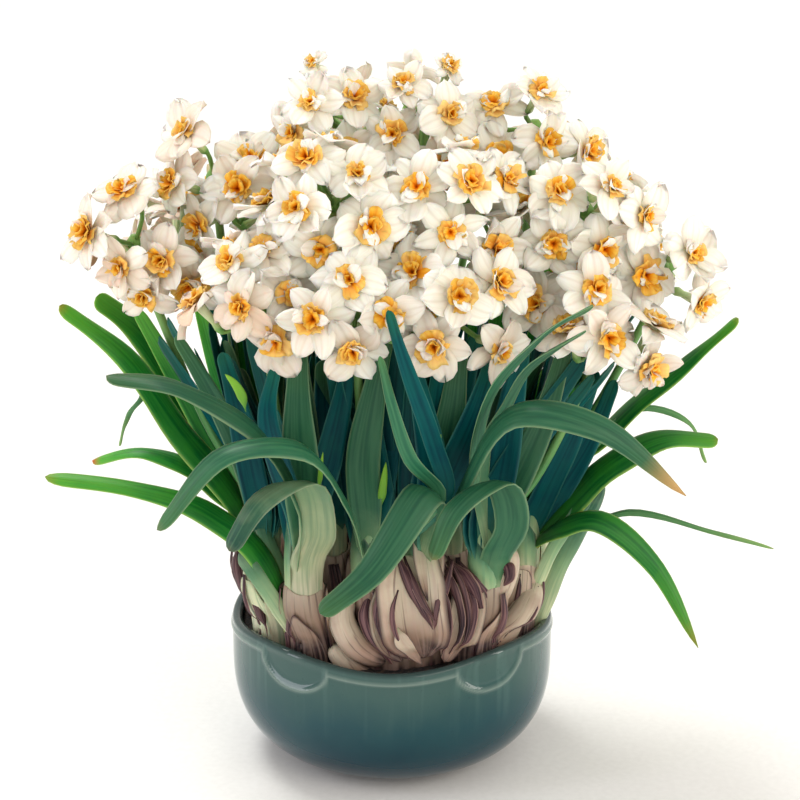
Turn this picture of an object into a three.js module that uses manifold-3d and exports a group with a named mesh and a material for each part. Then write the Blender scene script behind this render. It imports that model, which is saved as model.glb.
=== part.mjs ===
// A potted double narcissus: a lobed, glazed bowl of dark soil with thirteen bulbs in it. Each shoot of a
// bulb sends up a fan of strap leaves and, from inside the fan, one scape that ends in an umbel of double
// flowers. Units are millimetres, +Z is up, and the origin is the middle of the bowl's foot. The front is -Y.

import * as THREE from 'three';
import { mergeVertices } from 'three/addons/utils/BufferGeometryUtils.js';
import Module from 'manifold-3d';

const wasm = await Module();
wasm.setup();
const vec = (x, y, z) => new THREE.Vector3(x, y, z);

// Bowl and soil
const BOWL_RADIUS = 81;
const BOWL_HEIGHT = 75.5;
const BOWL_WALL = 5;
const BOWL_BASE = 7;
const BOWL_WIDEST = 56;
const FOOT_RADIUS = 30;
const RIM_LOBES = 4;
const RIM_RISE = 2.6;
const BOWL_SIDES = 32;
const SOIL_LEVEL = 65;
const SEAT_GAP = 0.35;

// Bulbs, shoots and stems
const NECK_TOP = 110;
const NECK_RADIUS = 10.4;
const NECK_LEAN = 1.14;
const BULB_SIDES = 8;
const SHEATH_RADIUS = 8.6;
const SHEATH_RISE = 22;
const SHEATH_TOP = NECK_TOP + SHEATH_RISE;
const SHEATH_SUNK = 8;
const SHEATH_SIDES = 8;
const SCAPE_RADIUS = 2.6;
const SCAPE_TOP = 2;
const LEAF_THICK = 1.4;
const LEAF_WIDTH = 18;
const LEAF_ROOT = 0.58;
const LEAF_TIP = 0.72;
const LEAF_CHANNEL = 0.09;
const LONG_ROLL = 0.6;

// Flower heads
const BLOOM_RADIUS = 17.8;
const BLOOM_TUBE = 13;
const BLOOM_SPACING = 24;
const PEDICEL_RADIUS = 1.3;
const UMBEL_REACH = 36;
const FAR_SPREAD = 0.8;
const KNOB_RADIUS = 5;
const CANOPY = { middle: vec(0, 20, 215), reach: vec(110, 90, 160) };

// How the reference view looks at the plant: from so far away, from so many degrees above the level, and aimed
// at a point so far above the origin, which shows at this column and row. Focal length, column and row are in
// the picture's pixels.
const VIEW = { distance: 1000, degrees: 18, aim: 180, focal: 2030, column: 392, row: 407 };
const TILT = THREE.MathUtils.degToRad(VIEW.degrees);

// Each bulb: where it sits in the soil, its radius, the bearing that its fans of leaves open towards, and its
// shoots, each an offset from the bulb's own lean.
const BULBS = [
  { at: [3, -44], radius: 25, bearing: 270, shoots: [[-14, -3], [12, -2]] },
  { at: [-37, -51], radius: 11.5, bearing: 240, shoots: [[0, 0]] },
  { at: [-55, -28], radius: 13, bearing: 225, shoots: [[0, 0]] },
  { at: [-61, 4], radius: 13, bearing: 215, shoots: [[0, 0]] },
  { at: [40, -49], radius: 11.3, bearing: 300, shoots: [[0, 0]] },
  { at: [57, -24], radius: 13, bearing: 315, shoots: [[0, 0]] },
  { at: [61, 8], radius: 12, bearing: 325, shoots: [[0, 0]] },
  { at: [-27, -8], radius: 16, bearing: 250, shoots: [[0, 0]] },
  { at: [27, -6], radius: 16, bearing: 290, shoots: [[0, 0]] },
  { at: [-42, 38], radius: 17, bearing: 125, shoots: [[7, 8], [-7, -8]] },
  { at: [42, 40], radius: 16.5, bearing: 55, shoots: [[-7, 8], [7, -8]] },
  { at: [0, 22], radius: 17, bearing: 275, shoots: [[-11, -1], [11, 1]] },
  { at: [0, 58], radius: 15.5, bearing: 90, shoots: [[-11, 0], [11, 0]] },
];

// Each umbel, in the order of the shoots above: its heart, where the pedicels meet, and the faces of its
// blooms, all as [column, row] in the reference view, with the heart's depth in millimetres along +Y. An umbel
// of the far side isn't seen in that view: it states its heart's place, and the bearing that its blooms face.
const UMBELS = [
  { heart: [355, 315], depth: -70, seen: [[350, 285], [348, 350], [388, 318], [318, 322]] },
  { heart: [450, 318], depth: -70, seen: [[410, 275], [460, 298], [430, 350], [505, 360]] },
  { heart: [262, 308], depth: -60, seen: [[238, 310], [275, 350], [300, 290], [229, 261]] },
  { heart: [135, 245], depth: -20, seen: [[130, 188], [85, 232], [143, 300], [187, 290]] },
  { heart: [215, 178], depth: 0, seen: [[182, 132], [265, 148], [240, 185], [195, 225], [165, 185]] },
  { heart: [603, 335], depth: -55, seen: [[610, 338], [655, 380], [535, 308], [600, 290]] },
  { heart: [585, 212], depth: -30, seen: [[570, 195], [607, 195], [635, 210], [560, 240], [600, 255]] },
  { heart: [668, 268], depth: -15, seen: [[685, 258], [655, 270], [633, 235], [705, 308]] },
  { heart: [335, 208], depth: -50, seen: [[305, 215], [310, 245], [375, 222], [355, 180], [310, 170]] },
  { heart: [445, 205], depth: -45,
    seen: [[425, 190], [450, 225], [470, 185], [395, 235], [507, 180], [497, 252]] },
  { place: [-42, 72, 268], bearing: 110 },
  { place: [-94, 42, 256], bearing: 150 },
  { place: [94, 42, 256], bearing: 30 },
  { heart: [535, 130], depth: 5, seen: [[497, 105], [536, 103], [540, 135], [510, 150], [585, 150]] },
  { heart: [325, 112], depth: 10, seen: [[313, 82], [305, 104], [347, 97], [352, 150], [290, 125]] },
  { heart: [425, 112], depth: 5, seen: [[388, 122], [400, 95], [450, 68], [455, 118], [447, 155]] },
  { place: [0, 42, 308], bearing: 90 },
  { place: [42, 72, 268], bearing: 70 },
];

// Long leaves that arch clear of the clump: the shoot each grows from, its width, and its course through the
// reference view as [column, row, depth], where depth is millimetres along +Y.
const LONG_LEAVES = [
  { shoot: 3, width: 15, course: [[222, 522, -46], [188, 503, -48], [130, 488, -46], [45, 477, -40]] },
  { shoot: 4, width: 12, course: [[225, 497, -6], [190, 468, -8], [145, 452, -6], [92, 461, 0]] },
  { shoot: 2, width: 17, course: [[300, 500, -88], [255, 430, -104], [180, 388, -108], [106, 376, -104]] },
  { shoot: 0, width: 15, course: [[345, 500, -92], [300, 448, -112], [225, 455, -122], [157, 530, -120]] },
  { shoot: 2, width: 17, course: [[318, 530, -84], [305, 482, -104], [262, 500, -118], [229, 551, -122]] },
  { shoot: 3, width: 15, course: [[236, 500, -30], [180, 430, -30], [125, 355, -34], [59, 306, -38]] },
  { shoot: 11, width: 16, course: [[240, 480, 24], [190, 400, 16], [140, 330, 14], [96, 297, 10]] },
  { shoot: 1, width: 18, course: [[438, 510, -82], [425, 492, -106], [370, 572, -124], [320, 614, -126]] },
  { shoot: 5, width: 16, course: [[512, 520, -78], [496, 481, -98], [455, 510, -114], [432, 560, -116]] },
  { shoot: 1, width: 15, course: [[455, 500, -84], [515, 414, -110], [600, 428, -118], [686, 496, -116]] },
  { shoot: 6, width: 15, course: [[570, 500, -36], [620, 458, -42], [670, 438, -42], [718, 440, -38]] },
  { shoot: 6, width: 10, course: [[560, 525, -46], [598, 520, -54], [655, 566, -60], [698, 648, -60]] },
  { shoot: 7, width: 5, course: [[580, 500, -4], [620, 512, -4], [700, 529, -2], [774, 549, 0]] },
  { shoot: 0, width: 9, course: [[432, 490, -84], [408, 440, -100], [385, 370, -112], [390, 312, -118]] },
  { shoot: 5, width: 8, course: [[480, 460, -70], [505, 385, -90], [550, 335, -110], [592, 312, -118]] },
  { shoot: 13, width: 13, course: [[585, 450, 30], [640, 400, 26], [690, 360, 22], [738, 318, 16]] },
  { shoot: 7, width: 5, course: [[590, 450, 24], [640, 408, 30], [690, 424, 34], [706, 463, 34]] },
];

// Seeded draws: the same index and salt always give the same number from 0 to 1.
function draw(index, salt) {
  const wave = Math.sin(index * 12.9898 + salt * 78.233) * 43758.5453;
  return wave - Math.floor(wave);
}

const spread = (index, salt, range) => (draw(index, salt) * 2 - 1) * range;
const mix = THREE.MathUtils.lerp;
const smooth = (value, low, high) => THREE.MathUtils.smoothstep(value, low, high);

// The reference view's eye, and the direction in which it sees [column, row].
const eye = vec(0, -VIEW.distance * Math.cos(TILT), VIEW.aim + VIEW.distance * Math.sin(TILT));

function gaze(column, row) {
  const across = (column - VIEW.column) / VIEW.focal;
  const rise = (VIEW.row - row) / VIEW.focal;
  return vec(
    across,
    Math.cos(TILT) + rise * Math.sin(TILT),
    -Math.sin(TILT) + rise * Math.cos(TILT),
  );
}

// The point that shows at [column, row] and lies at y = depth.
function sight(column, row, depth) {
  const ray = gaze(column, row);
  return eye.clone().addScaledVector(ray, (depth - eye.y) / ray.y);
}

// The near point of a ball round the heart at [column, row], or where the line of sight passes closest to it.
function onUmbel(heart, column, row) {
  const ray = gaze(column, row).normalize();
  const along = heart.clone().sub(eye).dot(ray);
  const closest = eye.clone().addScaledVector(ray, along);
  const miss = Math.min(UMBEL_REACH, closest.distanceTo(heart));
  return closest.addScaledVector(ray, -Math.sqrt(UMBEL_REACH ** 2 - miss ** 2));
}

// A closed geometry as a solid, turned right side out if its faces point inwards.
function solidOf(geometry) {
  const plain = new THREE.BufferGeometry();
  plain.setAttribute('position', geometry.getAttribute('position'));
  plain.setIndex(geometry.index);
  const merged = mergeVertices(plain, 1e-3);
  const corners = merged.index.array;
  const kept = [];
  for (let i = 0; i < corners.length; i += 3) {
    const [a, b, c] = [corners[i], corners[i + 1], corners[i + 2]];
    if (a !== b && b !== c && c !== a) kept.push(a, b, c);
  }
  const build = (order) => new wasm.Manifold(new wasm.Mesh({
    numProp: 3,
    vertProperties: merged.attributes.position.array,
    triVerts: new Uint32Array(order),
  }));
  const solid = build(kept);
  return solid.volume() > 0 ? solid : build(kept.reverse());
}

// A geometry from a list of points and a list of triangles.
function geometryOf(points, faces) {
  const geometry = new THREE.BufferGeometry();
  const places = points.flatMap((point) => point.toArray());
  geometry.setAttribute('position', new THREE.Float32BufferAttribute(places, 3));
  geometry.setIndex(faces.flat());
  return geometry;
}

// Triangles between two rings of vertex numbers that start at the same angle and may differ in count. Ties are
// settled alike on both faces of a thin blade, so that its faces don't cross where it waves or twists.
function bridge(lower, upper) {
  const faces = [];
  const lowWinsTie = (i) => (lower.length === upper.length ? i % 2 === 0 : lower.length < upper.length);
  let i = 0;
  let j = 0;
  while (i < lower.length || j < upper.length) {
    const a = lower[i % lower.length];
    const b = upper[j % upper.length];
    const lead = (2 * i + 1) * upper.length - (2 * j + 1) * lower.length;
    if (j >= upper.length || (i < lower.length && (lead < 0 || (lead === 0 && lowWinsTie(i))))) {
      faces.push([a, lower[(i + 1) % lower.length], b]);
      i += 1;
    } else {
      faces.push([a, upper[(j + 1) % upper.length], b]);
      j += 1;
    }
  }
  return faces;
}

// A closed skin over rings of points, from the first ring to the last, with a pole or a fan at each end.
function skin(rings) {
  const points = rings.flat();
  const numbers = [];
  let next = 0;
  for (const ring of rings) {
    numbers.push(ring.map(() => next++));
  }
  const faces = [];
  for (let k = 0; k + 1 < numbers.length; k += 1) {
    const [low, high] = [numbers[k], numbers[k + 1]];
    if (low.length === 1) high.forEach((b, j) => faces.push([low[0], high[(j + 1) % high.length], b]));
    else if (high.length === 1) low.forEach((a, i) => faces.push([a, low[(i + 1) % low.length], high[0]]));
    else faces.push(...bridge(low, high));
  }
  const [first, last] = [numbers[0], numbers[numbers.length - 1]];
  for (let i = 1; i + 1 < first.length; i += 1) faces.push([first[0], first[i + 1], first[i]]);
  for (let i = 1; i + 1 < last.length; i += 1) faces.push([last[0], last[i], last[i + 1]]);
  return geometryOf(points, faces);
}

// A lathe turned about +Z, from [radius, height] pairs, with each point then moved by shift.
function turned(profile, sides, shift = (point) => point) {
  const geometry = new THREE.LatheGeometry(profile.map(([r, h]) => new THREE.Vector2(r, h)), sides);
  geometry.rotateX(Math.PI / 2);
  const place = geometry.getAttribute('position');
  for (let i = 0; i < place.count; i += 1) {
    const moved = shift(vec(place.getX(i), place.getY(i), place.getZ(i)));
    place.setXYZ(i, moved.x, moved.y, moved.z);
  }
  return geometry;
}

// The bowl's outer radius at a height, full and round from the foot to the widest ring.
function bowlRadius(height, foot, widest, base) {
  const share = THREE.MathUtils.clamp((height - base) / (BOWL_WIDEST - base), 0, 1);
  return foot + (widest - foot) * Math.sqrt(1 - (1 - share) ** 3);
}

const wallRadius = (height) => bowlRadius(height, FOOT_RADIUS - 4, BOWL_RADIUS - BOWL_WALL, BOWL_BASE);

// The rim rises in four shallow lobes.
function lobed(point) {
  const bearing = Math.atan2(point.y, point.x);
  const share = smooth(point.z, BOWL_WIDEST - 14, BOWL_HEIGHT);
  return point.setZ(point.z + RIM_RISE * share * Math.cos(RIM_LOBES * (bearing - Math.PI / 4)));
}

function bowl() {
  const outside = [0, 3, 11, 26, BOWL_WIDEST, BOWL_HEIGHT - 2];
  const inside = [BOWL_HEIGHT - 2, 52, 24, BOWL_BASE];
  const profile = [[0, 0]];
  outside.forEach((h) => profile.push([bowlRadius(h, FOOT_RADIUS, BOWL_RADIUS, 0), h]));
  profile.push([BOWL_RADIUS - BOWL_WALL / 2, BOWL_HEIGHT]);
  inside.forEach((h) => profile.push([wallRadius(h), h]));
  profile.push([0, BOWL_BASE]);
  return solidOf(turned(profile, BOWL_SIDES, lobed));
}

// The soil fills the bowl to a level top. Its side stays inside the chord of the wall's facets.
function soil() {
  const side = (height) => [wallRadius(height) - 1, height];
  const base = [FOOT_RADIUS - 8, BOWL_BASE + SEAT_GAP];
  const profile = [[0, base[1]], base, side(24), side(52), side(SOIL_LEVEL), [0, SOIL_LEVEL]];
  const fill = solidOf(turned(profile, BOWL_SIDES));
  return BULBS.reduce((solid, bulb) => solid.subtract(socket(bulb)), fill).simplify(0.02);
}

// The plain round hole that a bulb stands in.
function socket(bulb) {
  const radius = bulb.radius + SEAT_GAP * 2;
  const ends = [bulbFoot(bulb) - SEAT_GAP, SOIL_LEVEL + 9];
  return solidOf(skin(ends.map((height) => bulbRing(bulb.at, radius, height, bulbSides(bulb)))));
}

// Where a shoot leaves its bulb's neck: bulbs lean a little outwards.
function neckAt({ at }, offset) {
  return vec(at[0] * NECK_LEAN + offset[0], at[1] * NECK_LEAN + offset[1], NECK_TOP);
}

const bulbFoot = (bulb) => SOIL_LEVEL - 12 - bulb.radius * 0.5;
const bulbSides = (bulb) => (bulb.radius > 20 ? 12 : BULB_SIDES);

function bulbRing([x, y], radius, height, sides, tear = () => 0) {
  return Array.from({ length: sides }, (_, side) => {
    const angle = (side / sides) * Math.PI * 2;
    return vec(x + radius * Math.cos(angle), y + radius * Math.sin(angle), height + tear(side));
  });
}

// A neck's mouth, from its torn outer edge down into the pocket that the shoot's sheath stands in.
function mouth(neck, number) {
  const at = [neck.x, neck.y];
  const torn = (side) => spread(number * SHEATH_SIDES + side, 3, 2.4);
  return [
    bulbRing(at, NECK_RADIUS, NECK_TOP, SHEATH_SIDES, torn),
    bulbRing(at, SHEATH_RADIUS + SEAT_GAP, NECK_TOP - SHEATH_SUNK - SEAT_GAP, SHEATH_SIDES),
  ];
}

// A bulb is round in the soil and drawn in to a neck, or a body with a neck for each of its shoots.
function bulbBody(bulb, number) {
  const low = bulbFoot(bulb);
  const sides = bulbSides(bulb);
  const necks = bulb.shoots.map((offset) => neckAt(bulb, offset));
  const leaning = (t, radius, lean, count = sides, neck = necks[0]) => {
    const centre = [mix(bulb.at[0], neck.x, lean), mix(bulb.at[1], neck.y, lean)];
    return bulbRing(centre, radius, mix(low, NECK_TOP, t), count);
  };
  const belly = [leaning(0, bulb.radius * 0.6, 0), leaning(0.4, bulb.radius * 0.98, 0)];
  if (necks.length === 1) {
    const upper = leaning(0.58, bulb.radius * 0.94, 0.25);
    const shoulder = leaning(0.8, mix(NECK_RADIUS, bulb.radius, 0.4), 0.85);
    return solidOf(skin([...belly, upper, shoulder, ...mouth(necks[0], number)]));
  }
  const crown = [leaning(0.58, bulb.radius * 0.94, 0), leaning(0.82, bulb.radius * 0.5, 0)];
  const body = solidOf(skin([...belly, ...crown]));
  return necks.reduce((whole, neck, k) => {
    const foot = leaning(0.45, NECK_RADIUS * 1.15, 0.35, SHEATH_SIDES, neck);
    const shoulder = leaning(0.8, NECK_RADIUS * 1.1, 0.85, SHEATH_SIDES, neck);
    return whole.add(solidOf(skin([foot, shoulder, ...mouth(neck, number + 20 * k)])));
  }, body);
}

// A round stem along a curve, as rings of points: radiusAt gives its radius at each share of its length.
function stem(curve, steps, sides, radiusAt, side) {
  return Array.from({ length: steps + 1 }, (_, step) => {
    const t = step / steps;
    const along = curve.getTangent(t);
    const first = side.clone().addScaledVector(along, -side.dot(along)).normalize();
    const second = vec(0, 0, 0).crossVectors(along, first);
    return Array.from({ length: sides }, (_, k) => {
      const angle = (k / sides) * Math.PI * 2;
      return curve.getPoint(t)
        .addScaledVector(first, radiusAt(t) * Math.cos(angle))
        .addScaledVector(second, radiusAt(t) * Math.sin(angle));
    });
  });
}

// A strap leaf along a curve, folded into a shallow channel. Its section is a thin kite with sharp edges. It is
// full width from a third of its length, and it ends in a blunt tip.
function strap(curve, steps, { width, side, roll, turn, grow }) {
  const rings = Array.from({ length: steps + 1 }, (_, step) => {
    const t = step / steps;
    const along = curve.getTangent(t);
    const centre = curve.getPoint(t).addScaledVector(along, grow * Math.sign(t - 0.5));
    const flat = side.clone().addScaledVector(along, -side.dot(along)).normalize();
    flat.applyAxisAngle(along, roll + turn * t);
    const face = vec(0, 0, 0).crossVectors(flat, along);
    const tip = Math.max(0, (t - LEAF_TIP) / (1 - LEAF_TIP));
    const taper = mix(LEAF_ROOT, 1, smooth(t, 0, 0.35)) * Math.sqrt(Math.max(0.06, 1 - tip ** 2.2));
    const half = (width / 2) * taper + grow;
    const thick = LEAF_THICK / 2 + grow;
    const channel = width * LEAF_CHANNEL * taper;
    return [
      centre.clone().addScaledVector(flat, -half).addScaledVector(face, channel),
      centre.clone().addScaledVector(face, -thick),
      centre.clone().addScaledVector(flat, half).addScaledVector(face, channel),
      centre.clone().addScaledVector(face, thick),
    ];
  });
  return solidOf(skin(rings));
}

// A far-side umbel: four faces in a square round its bearing, tilted so that no two stand level.
function farFaces(heart, bearing) {
  const out = vec(Math.cos(bearing), Math.sin(bearing), 0.35).normalize();
  const across = vec(-Math.sin(bearing), Math.cos(bearing), 0);
  const up = vec(0, 0, 0).crossVectors(out, across);
  const round = [30, 120, 210, 300].map((degrees) => {
    const angle = THREE.MathUtils.degToRad(degrees);
    return out.clone()
      .addScaledVector(across, FAR_SPREAD * Math.cos(angle))
      .addScaledVector(up, FAR_SPREAD * Math.sin(angle));
  });
  return round.map((way) => heart.clone().addScaledVector(way.normalize(), UMBEL_REACH));
}

// Pushes faces apart, a pair at a time, until neighbours stand a bloom's width from each other.
function settle(faces) {
  for (let round = 0; round < 40; round += 1) {
    for (let i = 0; i < faces.length; i += 1) {
      for (let j = i + 1; j < faces.length; j += 1) {
        const apart = faces[j].clone().sub(faces[i]);
        const short = BLOOM_SPACING - apart.length();
        if (short > 0) {
          apart.setLength(short * 0.25);
          faces[i].sub(apart);
          faces[j].add(apart);
        }
      }
    }
  }
}

// A bloom looks away from its umbel's heart and out of the clump, and no two look quite the same way.
function facing(face, heart, number) {
  const away = face.clone().sub(heart).normalize();
  const out = face.clone().sub(CANOPY.middle).divide(CANOPY.reach).clampLength(0, 1);
  const drift = vec(spread(number, 1, 0.2), spread(number, 2, 0.15), spread(number, 5, 0.2));
  return away.add(out).add(drift).normalize();
}

// One double bloom and its pedicel, as one closed skin. From the front to the back: the raised tuft, the
// ruffled crown, the throat, the six broad tepals, the tube, and the pedicel down to the umbel's joint.
function bloom(face, look, joint, number, grow = 0) {
  const first = vec(-look.y, look.x, 0).normalize().applyAxisAngle(look, spread(number, 7, 1.5));
  const second = vec(0, 0, 0).crossVectors(look, first);
  const at = (angle, radius, lift) => face.clone()
    .addScaledVector(first, radius * Math.cos(angle))
    .addScaledVector(second, radius * Math.sin(angle))
    .addScaledVector(look, lift);
  const ring = (count, pointAt) => (
    Array.from({ length: count }, (_, k) => pointAt((k / count) * Math.PI * 2, k)));
  const size = BLOOM_RADIUS * (0.94 + 0.12 * draw(number, 11));
  const tuft = [at(0, 0, 5.5 + grow)];
  const crown = ring(8, (angle, k) => {
    const [reach, lift] = k % 2 ? [0.46, 4.4] : [0.3, 6.8];
    return at(angle, size * reach + grow, lift + grow);
  });
  const throat = ring(6, (angle) => at(angle, size * 0.3, 0.9 + grow));
  const tepals = ring(18, (angle, k) => {
    const reach = [0.68, 0.97, 1][k % 3];
    const wave = [0, -1.2, 1][k % 3] * (Math.floor(k / 3) % 2 ? 1 : -0.7);
    return at(angle, size * reach + grow, wave);
  });
  const back = ring(6, (angle) => at(angle, size * 0.3, -0.9 - grow));
  const tubeEnd = face.clone().addScaledVector(look, -BLOOM_TUBE);
  const bend = tubeEnd.clone().addScaledVector(look, -4);
  const root = joint.clone().lerp(bend, 0.1);
  const course = new THREE.CatmullRomCurve3([tubeEnd, bend, root]);
  const pedicel = [0, 1].map((t) => {
    const along = course.getTangent(t).negate();
    const one = first.clone().addScaledVector(along, -first.dot(along)).normalize();
    const two = vec(0, 0, 0).crossVectors(along, one);
    const radius = PEDICEL_RADIUS * (t === 0 ? 1.6 : 1) + grow;
    return [0, 1, 2].map((k) => course.getPoint(t)
      .addScaledVector(one, radius * Math.cos((k / 3) * Math.PI * 2))
      .addScaledVector(two, radius * Math.sin((k / 3) * Math.PI * 2)));
  });
  return solidOf(skin([tuft, crown, throat, tepals, back, ...pedicel]));
}

// All blooms of all umbels are settled together, so that neighbours of different umbels keep apart too.
const hearts = UMBELS.map(({ heart, depth, place }) => (place ? vec(...place) : sight(...heart, depth)));
const faceGroups = UMBELS.map(({ seen, bearing }, index) => (seen
  ? seen.map(([column, row]) => onUmbel(hearts[index], column, row))
  : farFaces(hearts[index], THREE.MathUtils.degToRad(bearing))));
settle(faceGroups.flat());

const shoots = BULBS.flatMap((bulb, number) => bulb.shoots.map((offset) => ({ bulb, number, offset })));
let bloomCount = 0;
shoots.forEach((shoot, index) => {
  shoot.neck = neckAt(shoot.bulb, shoot.offset);
  shoot.joint = hearts[index];
  const bearing = THREE.MathUtils.degToRad(shoot.bulb.bearing);
  shoot.out = vec(Math.cos(bearing), Math.sin(bearing), 0);
  shoot.blooms = faceGroups[index].map((face) => ({ face, number: bloomCount++ }));
  shoot.axis = new THREE.CatmullRomCurve3([
    shoot.neck.clone().setZ(NECK_TOP),
    shoot.neck.clone().setZ(NECK_TOP + SHEATH_RISE),
    shoot.neck.clone().lerp(shoot.joint, 0.45),
    shoot.joint.clone().setZ(shoot.joint.z - KNOB_RADIUS - SEAT_GAP),
  ]);
});

function scape(shoot, grow = 0) {
  const across = vec(-shoot.out.y, shoot.out.x, 0);
  return solidOf(skin(stem(shoot.axis, 3, 5, (t) => mix(SCAPE_RADIUS, SCAPE_TOP, t) + grow, across)));
}

// An umbel is a knob at the heart with a bloom on each of its pedicels.
function umbel(shoot, grow = 0) {
  const { x, y, z } = shoot.joint;
  const knob = solidOf(new THREE.OctahedronGeometry(KNOB_RADIUS + grow, 0).translate(x, y, z));
  return shoot.blooms.reduce((whole, { face, number }) => (
    whole.add(bloom(face, facing(face, shoot.joint, number), shoot.joint, number, grow))), knob);
}

// The sheath that holds a shoot's leaves together stands in the pocket of the bulb's neck.
function sheath(shoot, grow = 0) {
  const at = [shoot.neck.x, shoot.neck.y];
  const radius = SHEATH_RADIUS + grow;
  return solidOf(skin([
    bulbRing(at, radius, NECK_TOP - SHEATH_SUNK - grow, SHEATH_SIDES),
    bulbRing(at, radius * 0.97, NECK_TOP + SHEATH_RISE + grow, SHEATH_SIDES),
  ]));
}

// A shoot's own leaves follow its axis on both sides of the scape, and lean away from it as they rise. A shoot
// that has long leaves has fewer of these.
function ownLeaves(shoot, index, count, grow = 0) {
  const across = vec(-shoot.out.y, shoot.out.x, 0);
  const ranks = [[4.4, -1], [7, -1], [4.4, 1]].slice(0, count);
  return ranks.map(([offset, rank], k) => {
    const number = index * 3 + k;
    const tall = mix(198, 232, draw(number, 21)) - offset;
    const lean = offset * 1.8 + mix(6, 10, draw(number, 22));
    const drift = spread(number, 23, 6);
    const stops = [[SHEATH_TOP - 6, offset, 0], [SHEATH_TOP + 14, offset + 1, 0.1], [tall, lean, 1]];
    const course = new THREE.CatmullRomCurve3(stops.map(([height, away, share]) => {
      const t = (height - NECK_TOP) / (shoot.joint.z - NECK_TOP);
      return shoot.axis.getPoint(Math.min(1, t)).setZ(height)
        .addScaledVector(shoot.out, away * rank)
        .addScaledVector(across, drift * share);
    }));
    const width = LEAF_WIDTH * (offset > 5 ? 0.85 : 1);
    const side = across.clone().multiplyScalar(rank);
    return strap(course, 3, { width, side, roll: 0, turn: spread(number, 24, 0.25), grow });
  });
}

// A long leaf starts inside the sheath, on the side that it leans to.
function longLeaf({ shoot: index, width, course }, number, grow = 0) {
  const shoot = shoots[index];
  const points = course.map(([column, row, depth]) => sight(column, row, depth));
  const toTip = vec(points[3].x - shoot.neck.x, points[3].y - shoot.neck.y, 0).normalize();
  const start = shoot.neck.clone().addScaledVector(toTip, 5.4).setZ(SHEATH_TOP - 6);
  const side = vec(-toTip.y, toTip.x, 0);
  const roll = LONG_ROLL * toTip.x;
  const turn = spread(number, 31, 0.3);
  return strap(new THREE.CatmullRomCurve3([start, ...points]), 7, { width, side, roll, turn, grow });
}

function leafyShoot(shoot, index, grow = 0) {
  const long = LONG_LEAVES.flatMap((leaf, number) => (
    leaf.shoot === index ? [longLeaf(leaf, number, grow)] : []));
  const leaves = [...ownLeaves(shoot, index, long.length > 1 ? 2 : 3, grow), ...long];
  return leaves.reduce((whole, leaf) => whole.add(leaf), sheath(shoot, grow).add(scape(shoot, grow)));
}

// Keeps the largest body of a solid: a scrap that a neighbour has cut loose is dropped.
function largest(solid) {
  return solid.decompose().sort((a, b) => b.volume() - a.volume())[0];
}

function meet(a, b) {
  const [one, two] = [a.boundingBox(), b.boundingBox()];
  return [0, 1, 2].every((k) => one.min[k] <= two.max[k] && two.min[k] <= one.max[k]);
}

// Cuts a solid clear of the fattened copies of its neighbours.
function clearOf(solid, clearances) {
  const near = clearances.filter((other) => meet(solid, other));
  return largest(near.reduce((cut, other) => cut.subtract(other), solid).simplify(0.02));
}

// Each piece is cut clear of the pieces before it, and leaves its own clearance for the pieces after it.
const placed = [];
function seat(solid, clearance) {
  const cut = clearOf(solid, placed);
  placed.push(clearance);
  return cut;
}

const materials = {
  glaze: new THREE.MeshStandardMaterial({ color: 0x5f827c, roughness: 0.12, metalness: 0 }),
  soil: new THREE.MeshStandardMaterial({ color: 0x1c1a1d, roughness: 0.95, metalness: 0 }),
  bulb: new THREE.MeshStandardMaterial({ color: 0xcbb49a, roughness: 0.6, metalness: 0 }),
  leaf: new THREE.MeshStandardMaterial({ color: 0x2c6a4a, roughness: 0.45, metalness: 0 }),
  petal: new THREE.MeshStandardMaterial({ color: 0xf3ece0, roughness: 0.55, metalness: 0 }),
};

const plant = new THREE.Group();

function addPiece(name, solid, material) {
  const { triVerts, vertProperties } = solid.getMesh();
  const geometry = new THREE.BufferGeometry();
  geometry.setAttribute('position', new THREE.BufferAttribute(vertProperties, 3));
  geometry.setIndex(new THREE.BufferAttribute(triVerts, 1));
  const mesh = new THREE.Mesh(geometry, material.clone());
  mesh.name = name;
  plant.add(mesh);
}

const numbered = (name, index) => `${name}_${String(index + 1).padStart(2, '0')}`;

addPiece('bowl', bowl(), materials.glaze);
addPiece('soil', soil(), materials.soil);

shoots.forEach((shoot, index) => {
  shoot.clearance = leafyShoot(shoot, index, SEAT_GAP);
  addPiece(numbered('shoot', index), seat(leafyShoot(shoot, index), shoot.clearance), materials.leaf);
});

BULBS.forEach((bulb, number) => {
  const neighbours = shoots.filter((shoot) => shoot.number !== number);
  const body = clearOf(bulbBody(bulb, number), neighbours.map((shoot) => shoot.clearance));
  addPiece(numbered('bulb', number), body, materials.bulb);
});

shoots.forEach((shoot, index) => {
  addPiece(numbered('umbel', index), seat(umbel(shoot), umbel(shoot, SEAT_GAP)), materials.petal);
});

export default plant;
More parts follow.
